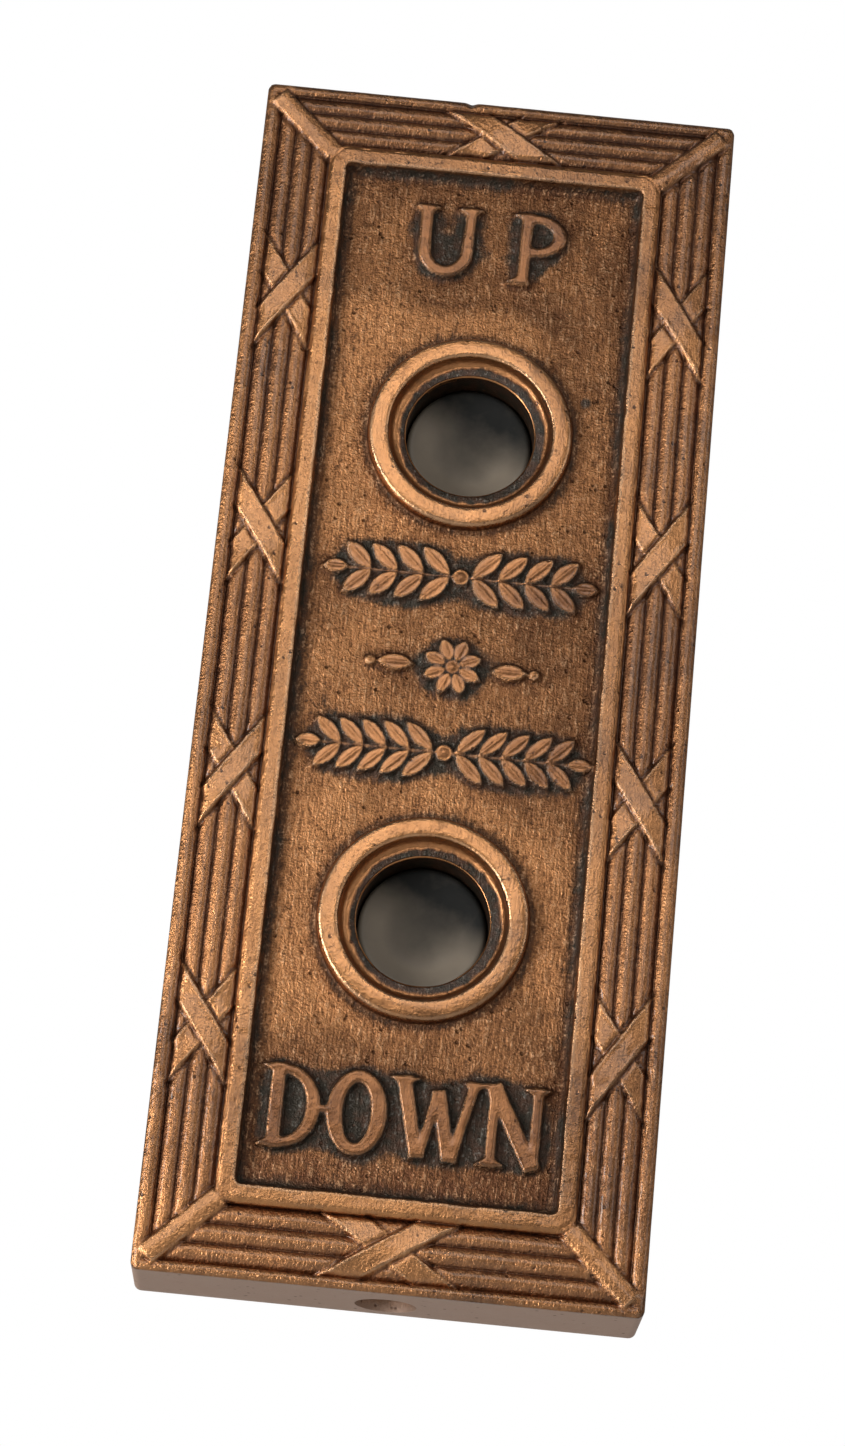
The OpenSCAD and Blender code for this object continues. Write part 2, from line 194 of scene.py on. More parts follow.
def spot(d, reach):
    """Falls from 1 at d = 0 to both sides over about reach"""
    return np.exp(-(d / reach) ** 2)


def higher(a, b, soft):
    """The higher of two surfaces, with the corner between them softened"""
    h = np.clip(0.5 + 0.5 * (a - b) / soft, 0, 1)
    return b + (a - b) * h + soft * h * (1 - h)


def round_drop(t, r):
    """How far a quarter round of radius r has dropped at t from its foot"""
    t = np.clip(t / r, 0, 1)
    return r * (1 - np.sqrt(1 - (1 - t) ** 2))


def arch_drop(t, r):
    """How far a round top of radius r has dropped at t from its crest"""
    return r - np.sqrt(np.maximum(r * r - t * t, 0.04 * r * r))


def between(low_left, low_right, high_left, high_right, s, t):
    """The value inside a cell with these corners, s across and t up it"""
    return (low_left * (1 - s) * (1 - t) + low_right * s * (1 - t)
            + high_left * (1 - s) * t + high_right * s * t)


def hills(x, y, step, seed):
    """Smooth random hills about one step wide, from -1 to 1"""
    size = 512
    table = np.random.default_rng(seed).uniform(-1, 1, (size, size))
    u, v = x / step + size / 2, y / step + size / 2
    i, j = np.floor(u).astype(int), np.floor(v).astype(int)
    s, t = ease(u - i), ease(v - j)
    i, j = i % size, j % size
    k, m = (i + 1) % size, (j + 1) % size
    return between(table[i, j], table[k, j], table[i, m], table[k, m], s, t)


def boxed(qx, qy):
    """Distance to a shape from how far a place is beyond its two pairs of sides"""
    return np.minimum(np.maximum(qx, qy), 0) + np.hypot(np.maximum(qx, 0), np.maximum(qy, 0))


def to_rounded_box(x, y, half_w, half_h, r):
    """Distance to the outline of a rounded rectangle, negative inside"""
    return boxed(np.abs(x) - half_w + r, np.abs(y) - half_h + r) - r


def to_outline(x, y):
    """Distance to the outline of the plate, negative inside"""
    return to_rounded_box(x, y, HALF_W, HALF_H, CORNER_R)


def to_recess(x, y):
    """Distance to the edge of the sunk field, negative in the field"""
    mid = (RECESS_TOP + RECESS_LOW) / 2
    lumps = 0.08 * hills(x, y, 2.6, 11)
    lumps += 0.3 * hills(x, y, 1.9, 12) * spot(x + 24, 7) * ease((y - 96) / 2)
    return to_rounded_box(x, y - mid, RECESS_HALF, (RECESS_TOP - RECESS_LOW) / 2, RECESS_R) + lumps


def from_opening(x, y):
    """Distance to the axis of the nearer opening"""
    return np.min([np.hypot(x, y - mid) for mid in OPENINGS], axis=0)


def sides(s):
    """For each side of the border: its bead, reed pitch and band"""
    widths = {"left": s["side_border"], "right": s["side_border"], "top": s["top_border"],
              "bottom": HALF_H + RECESS_LOW}
    found = {}
    for name, width in widths.items():
        bead = s["side_bead"] if name in ("left", "right") else s["end_bead"]
        band = s["band"] + (0.3 if name == "top" else 0)
        found[name] = (bead, (width - bead - band) / REEDS, band)
    return found


def section(t, bead, pitch, band):
    """Height of the border at the distance t from its outer edge"""
    reed_w = REEDS * pitch
    z_bead = BORDER_Z - BEAD_DROP - arch_drop(t - bead / 2, 0.64 * bead)
    at = t - bead
    i = np.clip(np.floor(at / pitch), 0, REEDS - 1)
    from_mid = at - reed_w / 2
    crest = BORDER_Z - REED_DROP - from_mid ** 2 / (2 * CROWN_R)
    z_reed = crest - arch_drop(at - (i + 0.5) * pitch, 0.64 * pitch)
    z_band = BORDER_Z - 1.15 / 1.2 * round_drop(t - bead - reed_w, 1.2)
    return np.where(t < bead, z_bead, np.where(t < bead + reed_w, z_reed, z_band))


def border(x, y, s):
    """Height of the reeded border, whose mitres run from corner to corner"""
    d_out = -to_outline(x, y)
    gaps = {"left": x + HALF_W, "right": HALF_W - x, "top": HALF_H - y, "bottom": y + HALF_H}
    ratios, heights = [], []
    for name, (bead, pitch, band) in sides(s).items():
        gap = gaps[name]
        ratios.append(gap / (bead + REEDS * pitch + band))
        heights.append(section(np.where(gap < bead, np.minimum(gap, d_out), gap), bead, pitch, band))
    side = np.array(ratios).argmin(0)
    return np.take_along_axis(np.array(heights), side[None], 0)[0]


def ties(s):
    """Each tie: its middle, whether its reeds run up the plate, their width and the ribbon on top"""
    found = []
    for name, (bead, pitch, _) in sides(s).items():
        reed_half = REEDS * pitch / 2
        inset = bead + reed_half
        if name in ("left", "right"):
            side, lift = (-1, 0.95) if name == "left" else (1, 2.05)
            found += [(side * (HALF_W - inset), (i - 1.5) * s["tie_step"] + lift, True, reed_half,
                       -side if i % 2 else side) for i in range(4)]
        elif name == "top":
            found.append((0.9, HALF_H - inset, False, reed_half, -1))
        else:
            found.append((-0.4, inset - HALF_H, False, reed_half, 1))
    return found


def lay_ribbon(z, u, v, reed_half, tilt, half, top):
    """Lays one ribbon over the reeds (u across the border from their middle, v along it), and says where"""
    away = np.abs(u * math.cos(tilt) - v * math.sin(tilt)) + 0.1 * hills(u + 20 * tilt, v, 1.6, 13)
    end = np.abs(u) - (reed_half - 1.1) + 0.15 * hills(u + 20 * tilt, v, 1.9, 14)
    crown = top - u ** 2 / (2 * CROWN_R) - 0.75 * np.clip(end / 1.1, 0, 2) ** 2
    rim = 0.12 * spot(away - half + 0.4, 0.3)
    fall = 2.6 * np.maximum(away - half + 0.12, 0) + 2.0 * np.maximum(np.abs(u) - reed_half - 0.15, 0)
    beside = np.where(np.abs(u) < reed_half + 0.3, spot(np.maximum(away - half, 0), 0.55), 0)
    sunk = z - 0.4 * beside * (away > half - 0.1)
    on_ribbon = ease((half + 0.25 - away) / 0.4) * ease((reed_half + 0.4 - np.abs(u)) / 0.6)
    return higher(crown + rim - fall, sunk, 0.12), on_ribbon


def add_ties(z, ribbon, x, y, s):
    """Two crossed ribbons at each tie, the lower one first"""
    spread = np.random.default_rng(4)
    for mid_x, mid_y, upright, reed_half, turn in ties(s):
        # Nothing of a tie is farther from its middle
        reach_x, reach_y = (7, 14) if upright else (14, 7)
        near = np.flatnonzero((np.abs(x - mid_x) < reach_x) & (np.abs(y - mid_y) < reach_y))
        u, v = x[near] - mid_x, y[near] - mid_y
        if not upright:
            u, v = v, u
        for layer in (-1, 1):
            tilt = layer * turn * (s["ribbon_angle"] + spread.uniform(-0.02, 0.02))
            half = s["ribbon"] / 2 * (1 + spread.uniform(-0.05, 0.05))
            top = RIBBON_TOP - (UNDER_DROP if layer < 0 else 0)
            z[near], covered = lay_ribbon(z[near], u, v, reed_half, tilt, half, top)
            ribbon[near] = np.maximum(ribbon[near], covered)


def add_corner_ribbon(z, ribbon, x, y, outer, inner):
    """A ribbon along a mitre, from its outer to its inner end"""
    half = 1.95
    run = inner - outer
    length = np.hypot(*run)
    run /= length
    near = np.flatnonzero((np.sign(outer[0]) * x > HALF_W - 20) & (np.sign(outer[1]) * y > HALF_H - 20))
    px, py = x[near] - outer[0], y[near] - outer[1]
    along = px * run[0] + py * run[1]
    away = np.abs(px * run[1] - py * run[0])
    beyond = np.maximum(np.maximum(-along, along - length), 0)
    top = RIBBON_TOP - away ** 2 / 9 - 0.25 * ease(along / length)
    rim = 0.1 * spot(away - half + 0.35, 0.25)
    fall = 2.4 * np.maximum(away - half + 0.1, 0) + 1.8 * beyond
    on_border = to_recess(x[near], y[near]) > 0.3
    beside = spot(np.maximum(away - half, 0), 0.6) * (away > half - 0.1) * (beyond < 0.4)
    sunk = z[near] - 0.3 * beside * on_border
    z[near] = np.where(on_border, higher(top + rim - fall, sunk, 0.15), z[near])
    covered = ease((half + 0.2 - away) / 0.4) * ease(0.8 - beyond) * on_border
    ribbon[near] = np.maximum(ribbon[near], covered)


def add_corner_ribbons(z, ribbon, x, y, s):
    """A ribbon at each corner, from the bead to the inner corner of the band"""
    inner_x = HALF_W - s["side_border"] + 2.5
    for side in (-1, 1):
        for high, inner_y in ((1, RECESS_TOP + 1.9), (-1, -RECESS_LOW + 2.6)):
            outer = np.array([side * (HALF_W - 2.4), high * (HALF_H - 2.6)])
            add_corner_ribbon(z, ribbon, x, y, outer, np.array([side * inner_x, high * inner_y]))


# Section of the raised ring round an opening: radius and height, from the field down to the bore
RING = [(19.8, 17.6), (19.3, 17.68), (19.05, 18.0), (18.95, 18.6), (18.85, 19.2), (18.6, 19.62),
        (18.2, 19.86), (17.4, 19.98), (16.4, 20.02), (15.7, 19.98), (15.3, 19.8), (15.08, 19.45),
        (14.9, 18.9), (14.55, 18.2), (14.1, 17.75), (13.6, 17.55), (13.0, 17.46), (12.35, 17.36),
        (12.06, 17.28), (11.92, 17.08), (11.9, 16.4), (11.9, 14), (11.9, 12), (11.9, 9.95)]
FACE_ROWS = 20  # of these, the ones from the field to the lip


def smooth_line(points, steps):
    """A Catmull-Rom curve through the points, with so many steps between each two"""
    p = np.array([points[0]] + list(points) + [points[-1]], float)
    found = []
    for a, b, c, d in zip(p, p[1:], p[2:], p[3:]):
        for t in np.arange(steps) / steps:
            found.append(0.5 * (2 * b + (c - a) * t + (2 * a - 5 * b + 4 * c - d) * t ** 2
                                + (3 * b - a - 3 * c + d) * t ** 3))
    found.append(p[-1])
    return np.array(found)


def stroke(x, y, ax, ay, bx, by, width, end_width=None):
    """Distance to a straight stroke with flat ends, negative inside"""
    end_width = width if end_width is None else end_width
    length = math.hypot(bx - ax, by - ay)
    ux, uy = (bx - ax) / length, (by - ay) / length
    along = (x - ax) * ux + (y - ay) * uy
    away = np.abs((x - ax) * uy - (y - ay) * ux)
    half = (width + (end_width - width) * np.clip(along / length, 0, 1)) / 2
    return boxed(away - half, np.abs(along - length / 2) - length / 2)


def serif(x, y, cx, cy, left, right, rise):
    """A flared foot: flat at cy, where it reaches left and right, and drawn in over its height rise"""
    up = (y - cy) * np.sign(rise)
    narrow = (1 - np.clip((up - 0.3) / abs(rise), 0, 1)) ** 1.7
    low, high = cx - left * narrow, cx + right * narrow
    return boxed(np.maximum(low - x, x - high), np.maximum(-up, up - abs(rise)))


def oval(x, y, cx, cy, rx, ry):
    """Distance to an oval, negative inside"""
    px, py = x - cx, y - cy
    k = np.hypot(px / rx, py / ry)
    return k * (k - 1) / np.maximum(np.hypot(px / rx ** 2, py / ry ** 2), 1e-6)


def oval_ring(x, y, cx, cy, rx, ry, side_w, end_w):
    """Distance to an oval ring, wider at its sides than at its ends or the other way round"""
    return np.maximum(oval(x, y, cx, cy, rx, ry), -oval(x, y, cx, cy, rx - side_w, ry - end_w))


def bowl(x, y, stem_x, cx, cy, rx, ry, side_w, end_w):
    """The round part of a letter to the right of its stem"""
    ring = oval_ring(np.maximum(x, cx), y, cx, cy, rx, ry, side_w, end_w)
    return np.maximum(ring, stem_x - x)


def letter_parts(x, y):
    """The strokes of the raised letters over and under the openings, one after the other"""
    top, foot = 92.6, 78.4
    trough = np.maximum(oval_ring(x, np.minimum(y, 83.9), -7.9, 83.9, 5.05, 5.5, 2.15, 2.0), y - 84.8)
    left, right = stroke(x, y, -12.05, top, -11.88, 83.9, 2.1), stroke(x, y, -3.6, top, -3.9, 83.9, 1.6, 2.1)
    yield np.minimum(trough, np.minimum(left, right))
    over = ((serif, -12.05, top, 1.7, 2.3, -2.0), (serif, -3.6, top, 2.2, 2.0, -2.0),
            (stroke, 7.0, top, 6.9, foot, 2.1, 1.9), (serif, 6.9, foot, 2.8, 1.2, 2.3),
            (serif, 7.0, top, 2.4, 0.8, -1.4), (bowl, 6.5, 9.0, 88.35, 5.4, 4.25, 2.35, 1.7))
    top, foot = -75.9, -90.2
    mid = (top + foot) / 2
    under = ((stroke, -22.5, top, -22.5, foot, 2.3), (serif, -22.5, top, 2.8, 0.8, -1.8),
             (serif, -22.5, foot, 2.5, 0.8, 2.0), (bowl, -22.9, -21.5, mid, 6.7, 7.3, 2.3, 1.5),
             (oval_ring, -8.3, mid - 0.1, 5.25, 7.6, 2.7, 2.05), (stroke, -15.4, mid, -13.0, mid, 0.9),
             (stroke, -0.6, top, 2.6, foot + 0.3, 2.5, 2.2), (stroke, 3.1, foot + 0.3, 5.6, -78.2, 1.5),
             (stroke, 5.7, -77.8, 8.3, foot, 2.2, 2.4), (stroke, 8.8, foot, 11.9, top, 1.6),
             (serif, -0.5, top, 2.3, 2.7, -1.8), (serif, 12.0, top, 2.1, 2.4, -1.6),
             (stroke, 15.5, top, 15.45, foot, 1.6), (serif, 15.45, foot, 2.2, 2.4, 2.0),
             (stroke, 15.2, top, 22.9, foot, 2.7), (stroke, 23.1, top, 23.1, foot, 1.6),
             (serif, 23.1, top, 2.3, 2.0, -1.8), (serif, 15.3, top, 1.6, 1.0, -1.4))
    for shape, *sizes_and_places in over + under:
        yield shape(x, y, *sizes_and_places)


def leaf(x, y, cx, cy, length, width, angle):
    """A pointed leaf from its stalk outwards: distance to its edge, and distance from its rib"""
    px, py = x - cx, y - cy
    along = px * math.cos(angle) + py * math.sin(angle) - length / 2
    away = np.abs(py * math.cos(angle) - px * math.sin(angle))
    r = ((length / 2) ** 2 + (width / 2) ** 2) / width
    return np.hypot(along, away + r - width / 2) - r, away


def leaf_places():
    """Stalk, length, width and angle of every leaf of the ornament between the openings"""
    for row_y, pairs, pitch, width in zip(SPRAYS_Y, (4, 5), (4.8, 4.15), (3.2, 2.9)):
        for side in (-1, 1):
            for i in range(pairs):
                for tip in (-1, 1):
                    angle = math.radians(tip * 45)
                    yield (ORNAMENT_X + side * (2.0 + i * pitch), row_y, 7.6 - 0.2 * i, width,
                           angle if side > 0 else math.pi - angle)
            yield ORNAMENT_X + side * (1.4 + pairs * pitch), row_y, 4.6, 2.6, 0 if side > 0 else math.pi
    for i in range(8):
        angle = math.radians(45 * i + 22.5)
        yield ORNAMENT_X + 1.2 * math.cos(angle), ROSETTE_Y + 1.2 * math.sin(angle), 4.4, 2.7, angle
    for side in (-1, 1):
        yield ORNAMENT_X + side * 7.2, ROSETTE_Y, 6.4, 2.9, 0 if side > 0 else math.pi


def pellet_places():
    """Middle and radius of every round pellet of the ornament"""
    yield ORNAMENT_X, ROSETTE_Y, 1.5
    for row_y in SPRAYS_Y:
        yield ORNAMENT_X, row_y, 1.6
    for side in (-1, 1):
        yield ORNAMENT_X + side * 15.0, ROSETTE_Y, 0.9


def relief(d, rise, soft):
    """Height of raised work at the distance d from its edge: flat top, shoulder, foot and moat"""
    rest = 1 - np.clip((0.25 - d) / soft, 0, 1)
    foot = 0.2 * rest * fade(d - 0.25, 0.45)
    moat = 0.07 * ease(d / 0.8) * fade(d, 2) * ease((4.5 - d) / 2)
    return rise * (1 - rest ** 2.8) + foot - moat


def letters(x, y, rise):
    """Height of the letters over the field, and the distance to them"""
    d = np.full(len(x), FAR)
    for part in letter_parts(x, y):
        d = -higher(-d, -part, 0.75)
    d += 0.025 * hills(x, y, 1.9, 21) - 0.24
    return relief(d, rise, 1.2), d


def ornament(x, y):
    """Height of the laurel sprays and the rosette over the field, and the distance to them"""
    top, d = np.zeros(len(x)), np.full(len(x), FAR)
    for cx, cy, length, width, angle in leaf_places():
        edge, rib = leaf(x, y, cx, cy, length, width, angle)
        top = np.maximum(top, relief(edge - 0.1, 1.1, 0.95) + 0.16 * spot(rib, 0.28) * ease(-edge / 0.5))
        d = np.minimum(d, edge)
    for cx, cy, r in pellet_places():
        edge = np.hypot(x - cx, y - cy) - r
        top = np.maximum(top, relief(edge, 0.9, 0.7) + 0.35 * ease(-edge / r))
        d = np.minimum(d, edge)
    for row_y, reach in zip(SPRAYS_Y, (21.0, 22.5)):
        edge = stroke(x, y, ORNAMENT_X - reach, row_y, ORNAMENT_X + reach, row_y, 0.7)
        top = np.maximum(top, relief(edge, 0.6, 0.55))
        d = np.minimum(d, edge)
    return top, d


def raised_work(x, y, s):
    """Height of letters and ornament over the field, and how near the field is to them"""
    rise, nearest = np.zeros_like(x), np.full_like(x, FAR)
    for low, high in ((72, 97), (-95, -71)):
        near = np.flatnonzero((y > low) & (y < high) & (np.abs(x) < 29))
        if len(near):
            rise[near], nearest[near] = letters(x[near], y[near], s["letter_rise"])
    near = np.flatnonzero((np.abs(y) < 26) & (np.abs(x) < 29))
    top, d = ornament(x[near], y[near])
    rise[near] = np.maximum(rise[near], top)
    nearest[near] = np.minimum(nearest[near], d)
    return rise, nearest


def unevenness(x, y):
    """Slow waves, lumps and sandy grit of a casting"""
    slow = 0.05 * hills(x, y, 9, 1) + 0.04 * hills(x, y, 3.4, 2)
    return slow + 0.017 * hills(x, y, 1.3, 3) + 0.010 * hills(x, y, 0.62, 4)


def cover_height(x, y, s):
    """Height of the casting's face over the wall, how far raised work is, and where the ribbons are"""
    edge = to_recess(x, y)
    field_z = BORDER_Z - s["field_depth"]
    z_border = border(x, y, s) - np.where(edge < RIM_DROP, round_drop(edge, RIM_DROP), 0)
    wall = (BORDER_Z - RIM_DROP - field_z) * (1 - np.clip(-edge / 1.5, 0, 1)) ** 2.6
    rise, nearest = raised_work(x, y, s)
    z_field = field_z + wall + rise
    ring_rs, ring_zs = np.array(RING[:FACE_ROWS][::-1]).T
    for mid in OPENINGS:
        r = np.hypot(x, y - mid)
        ring_z = np.interp(r, ring_rs, ring_zs) - field_z
        z_field = z_field + np.where(r < WELL_R, ring_z, 0.02 * np.exp(-(r - WELL_R) / 0.8))
    z = np.where(edge > 0, z_border, z_field)
    ribbon = np.zeros_like(z)
    add_ties(z, ribbon, x, y, s)
    add_corner_ribbons(z, ribbon, x, y, s)
    z += unevenness(x, y) * np.where(edge > 0, 1.1, 1.2)
    z += 0.06 * np.minimum(hills(x, y, 2.1, 5) + 0.25, 0) * np.where(edge > 0, 1.6, 0.6)
    # The nick in the top edge
    z -= 0.8 * spot(x + 5.7, 0.8) * spot(y - 114.3, 0.9)
    return z, nearest, ribbon


def side_lines(bead, pitch, band):
    """Distances from an outer edge where the mesh of a border has lines: closer where it curves"""
    wave = (1 + np.sin(np.radians(np.arange(-90, 90, 15)))) / 2
    lines = [bead * (1 + np.sin(np.radians(np.arange(-90, 90, 18)))) / 2]
    lines += [bead + (i + wave) * pitch for i in range(REEDS)]
    start = bead + REEDS * pitch
    steps = [0, 0.035, 0.09, 0.16, 0.25, 0.35, 0.47, 0.59, 0.7, 0.8, 0.88, 0.94, 0.98]
    lines.append(start + band * np.array(steps))
    lines.append(start + band + np.array([0, 0.12, 0.28, 0.5, 0.8, 1.2]))
    return np.concatenate(lines)


def span(low, high, step):
    """Even lines from low to high, without the last"""
    return np.linspace(low, high, max(int(round((high - low) / step)), 1), endpoint=False)


def mesh_lines(s):
    """Lines of the mesh across and up the plate"""
    widths = sides(s)
    step = s["grid"]
    side = side_lines(*widths["left"])
    inner = HALF_W - side[-1]
    across = np.concatenate([side - HALF_W, span(-inner, -WELL_HALF, step)[1:],
                             span(-WELL_HALF, WELL_HALF, step), [WELL_HALF]])
    across = np.concatenate([across, -across[across < -WELL_HALF][::-1]])
    low = side_lines(*widths["bottom"]) - HALF_H
    high = HALF_H - side_lines(*widths["top"])[::-1]
    wells = [mid + half for mid in OPENINGS for half in (-WELL_HALF, WELL_HALF)]
    stops = [low[-1]] + sorted(wells + list(PLAIN_ROWS)) + [high[0]]
    up = [low[:-1]]
    for a, b in zip(stops, stops[1:]):
        plain = PLAIN_ROWS[0] <= a and b <= PLAIN_ROWS[1] or PLAIN_ROWS[2] <= a and b <= PLAIN_ROWS[3]
        up.append(span(a, b, step * (1.6 if plain else 1)))
    up.append(high)
    return across, np.concatenate(up)


def round_corners(x, y):
    """Moves the outermost mesh points of each corner on to its arc"""
    qx, qy = np.abs(x) - HALF_W + CORNER_R, np.abs(y) - HALF_H + CORNER_R
    corner = (qx > 0) & (qy > 0)
    far = np.where(corner, np.maximum(qx, qy) / np.maximum(np.hypot(qx, qy), 1e-9), 1)
    return (np.where(corner, np.sign(x) * (HALF_W - CORNER_R + qx * far), x),
            np.where(corner, np.sign(y) * (HALF_H - CORNER_R + qy * far), y))


class Shell:
    """Gathers the points and four-sided faces of the casting's outside"""

    def __init__(self):
        self.points, self.faces, self.count = [], [], 0

    def add(self, x, y, z):
        """Adds points and returns their ids"""
        self.points.append(np.column_stack([x, y, z]))
        self.count += len(x)
        return np.arange(self.count - len(x), self.count)

    def strip(self, first, second):
        """Joins two closed rows of points"""
        a, b = (np.append(row, row[0]) for row in (first, second))
        self.faces.append(np.column_stack([a[:-1], a[1:], b[1:], b[:-1]]))


def in_well(x, y, mid):
    """Whether places lie in the square round an opening"""
    return (np.abs(x) < WELL_HALF - 1e-6) & (np.abs(y - mid) < WELL_HALF - 1e-6)


def add_face_grid(shell, s):
    """The grid of the face, with a square left out round each opening; returns its ids by line"""
    across, up = mesh_lines(s)
    gx, gy = np.meshgrid(across, up)
    x, y = round_corners(gx.ravel(), gy.ravel())
    mx, my = (gx[:-1, :-1] + gx[1:, 1:]) / 2, (gy[:-1, :-1] + gy[1:, 1:]) / 2
    kept = ~np.any([in_well(gx, gy, mid) for mid in OPENINGS], axis=0)
    cut = np.any([in_well(mx, my, mid) for mid in OPENINGS], axis=0)
    ids = np.full(gx.shape, -1)
    ids[kept] = shell.add(*(v[kept.ravel()] for v in (x, y, cover_height(x, y, s)[0])))
    r, c = np.nonzero(~cut)
    shell.faces.append(np.column_stack([ids[r, c], ids[r, c + 1], ids[r + 1, c + 1], ids[r + 1, c]]))
    return across, up, ids


def around(lines_x, lines_y, ids, x_range, y_range):
    """Ids along the edge of a rectangle of the grid, once round against the clock"""
    c, r = (np.flatnonzero((lines > low - 1e-6) & (lines < high + 1e-6))
            for lines, (low, high) in ((lines_x, x_range), (lines_y, y_range)))
    return np.concatenate([ids[r[0], c[:-1]], ids[r[:-1], c[-1]], ids[r[-1], c[:0:-1]], ids[r[:0:-1], c[0]]])


def add_opening(shell, edge, mid, s):
    """Joins the square left out of the grid to the ring, and the ring to the bore"""
    start = np.concatenate(shell.points)[edge]
    px, py = start[:, 0], start[:, 1] - mid
    reach = np.hypot(px, py)
    ux, uy = px / reach, py / reach
    rows = [edge]
    for share in np.linspace(0, 1, 10)[1:]:
        r = reach + (WELL_R - reach) * share
        x, y = ux * r, uy * r + mid
        rows.append(shell.add(x, y, cover_height(x, y, s)[0]))
    for r, z in smooth_line(RING, 3)[1:]:
        worn = ease((z - 15.2) / 1.2)
        wobble = 0.05 * worn * hills(ux * 14, uy * 14 + mid, 5, 31)
        x, y = ux * (r + wobble), uy * (r + wobble) + mid
        rows.append(shell.add(x, y, z + worn * unevenness(x, y) * (1.2 if r > 15 else 1.6)))
    for first, second in zip(rows, rows[1:]):
        shell.strip(first, second)


def add_side_walls(shell, outline):
    """Walls from the edge of the face down to the wall, with room left round the hole in the bottom edge"""
    x, y, z = np.concatenate(shell.points)[outline].T
    keep_out = (np.abs(x) < EDGE_GAP + 0.2) & (y < -HALF_H + 0.01)
    skip = keep_out & np.roll(keep_out, -1)
    levels = [(z + 18.2) / 2] + [np.full(len(x), level) for level in
                                 (18.2, 16.6, EDGE_HIGH, 11.6, 8.2, 4.8, EDGE_LOW, 0.3, 0)]
    last = outline
    for level in levels:
        inset = 0.12 if level[0] == 0 else 0
        row = shell.add(x * (1 - inset / HALF_W), y * (1 - inset / HALF_H), level)
        a, b = np.append(last, last[0]), np.append(row, row[0])
        quads = np.column_stack([a[:-1], b[:-1], b[1:], a[1:]])
        beside_hole = EDGE_LOW - 0.01 < level[0] < EDGE_HIGH - 0.01
        shell.faces.append(quads[~skip] if beside_hole else quads)
        last = row


def is_inner(face):
    """Whether a face of the plain cover is one of its cavity, bosses, collars, lip, pad or holes"""
    mid = face.calc_center_median() / MM
    x, y, z = mid.x, mid.z, -mid.y
    in_bore = z > COLLAR_Z + 0.05 and min(abs(math.hypot(x, y - m) - BORE_R) for m in OPENINGS) < 0.04
    return 0.01 < z < CAVITY_Z + 0.02 and to_outline(x, y) < -0.06 and not in_bore


def by_angle(verts, mid):
    """Points of a ring round an opening, in order, each with its angle"""
    return sorted(((math.atan2(v.co.z / MM - mid, v.co.x / MM), v) for v in verts), key=lambda pair: pair[0])


def zip_rows(bm, first, second):
    """Joins two rings of points round the same middle that differ in number"""
    i = j = 0
    n, m = len(first), len(second)
    angle = lambda ring, k: ring[k % len(ring)][0] + (2 * math.pi if k >= len(ring) else 0)
    while i < n or j < m:
        corners = [first[i % n][1], second[j % m][1]]
        if j >= m or (i < n and angle(first, i + 1) < angle(second, j + 1)):
            i += 1
            corners.insert(1, first[i % n][1])
        else:
            j += 1
            corners.insert(1, second[j % m][1])
        bm.faces.new(corners)


def close_openings(bm):
    """Joins the casting's outside to its inside at the bores, the rear rim and the hole in the bottom edge"""
    rim, hole, rings = [], [], {}
    for e in [e for e in bm.edges if len(e.link_faces) == 1]:
        mid = (e.verts[0].co + e.verts[1].co) / 2 / MM
        if -mid.y < 0.01:
            rim.append(e)
        elif mid.z < -HALF_H + 0.01 and abs(mid.x) < EDGE_GAP + 1:
            hole.append(e)
        else:
            opening = min(OPENINGS, key=lambda place: abs(mid.z - place))
            rings.setdefault((opening, -mid.y < COLLAR_Z + 0.1), set()).update(e.verts)
    for mid in OPENINGS:
        zip_rows(bm, *(by_angle(rings[mid, inner], mid) for inner in (False, True)))
    for edges in (rim, hole):
        bmesh.ops.triangle_fill(bm, edges=edges, use_beauty=False)
    left = sum(len(e.link_faces) != 2 for e in bm.edges)
    if left:
        raise RuntimeError(f"the casting has {left} open or shared edges")


def blur(field, sigma):
    """Evens out a raster over about sigma cells"""
    reach = int(3 * sigma)
    weights = np.exp(-np.arange(-reach, reach + 1) ** 2 / (2 * sigma ** 2))
    weights /= weights.sum()
    for axis, n in enumerate(field.shape):
        padded = np.pad(field, [(reach * (a == axis),) * 2 for a in (0, 1)], mode="edge")
        field = sum(w * np.take(padded, np.arange(k, k + n), axis) for k, w in enumerate(weights))
    return field


def dark_film(gx, gy, step, edge, nearest, in_field, ring_r):
    """How thick the dark film is: round the raised work, at the foot of the field and in one dark spot"""
    crowd = blur(ease(0.5 - nearest / 0.8), 3.0 / step)
    crowd += 0.04 * hills(gx, gy, 4, 61) + 0.02 * hills(gx, gy, 1.7, 62)
    corner = np.hypot(np.maximum(np.abs(gx) - 21, 0), np.maximum(np.abs(gy - 0.75) - 92, 0))
    foot = fade(-edge - 0.6, 1.3) * (edge < 0) * (0.8 + 0.4 * hills(gx, gy, 7, 63))
    around_work = np.maximum(1.05 * ease((crowd - 0.13) / 0.22), 0.3 * fade(nearest, 0.7))
    dark_spot = np.exp(-(np.hypot(gx - 20.9, gy - 55.7) / 1.1) ** 4)
    places = (around_work * np.where(np.abs(gy) < 27, 0.8, 1) * in_field,
              foot * (0.3 + 0.55 * ease(corner / 5)),
              0.35 * fade(ring_r - WELL_R, 0.9) * in_field,
              0.85 * dark_spot)
    return np.clip(np.max(places, axis=0), 0, 1)


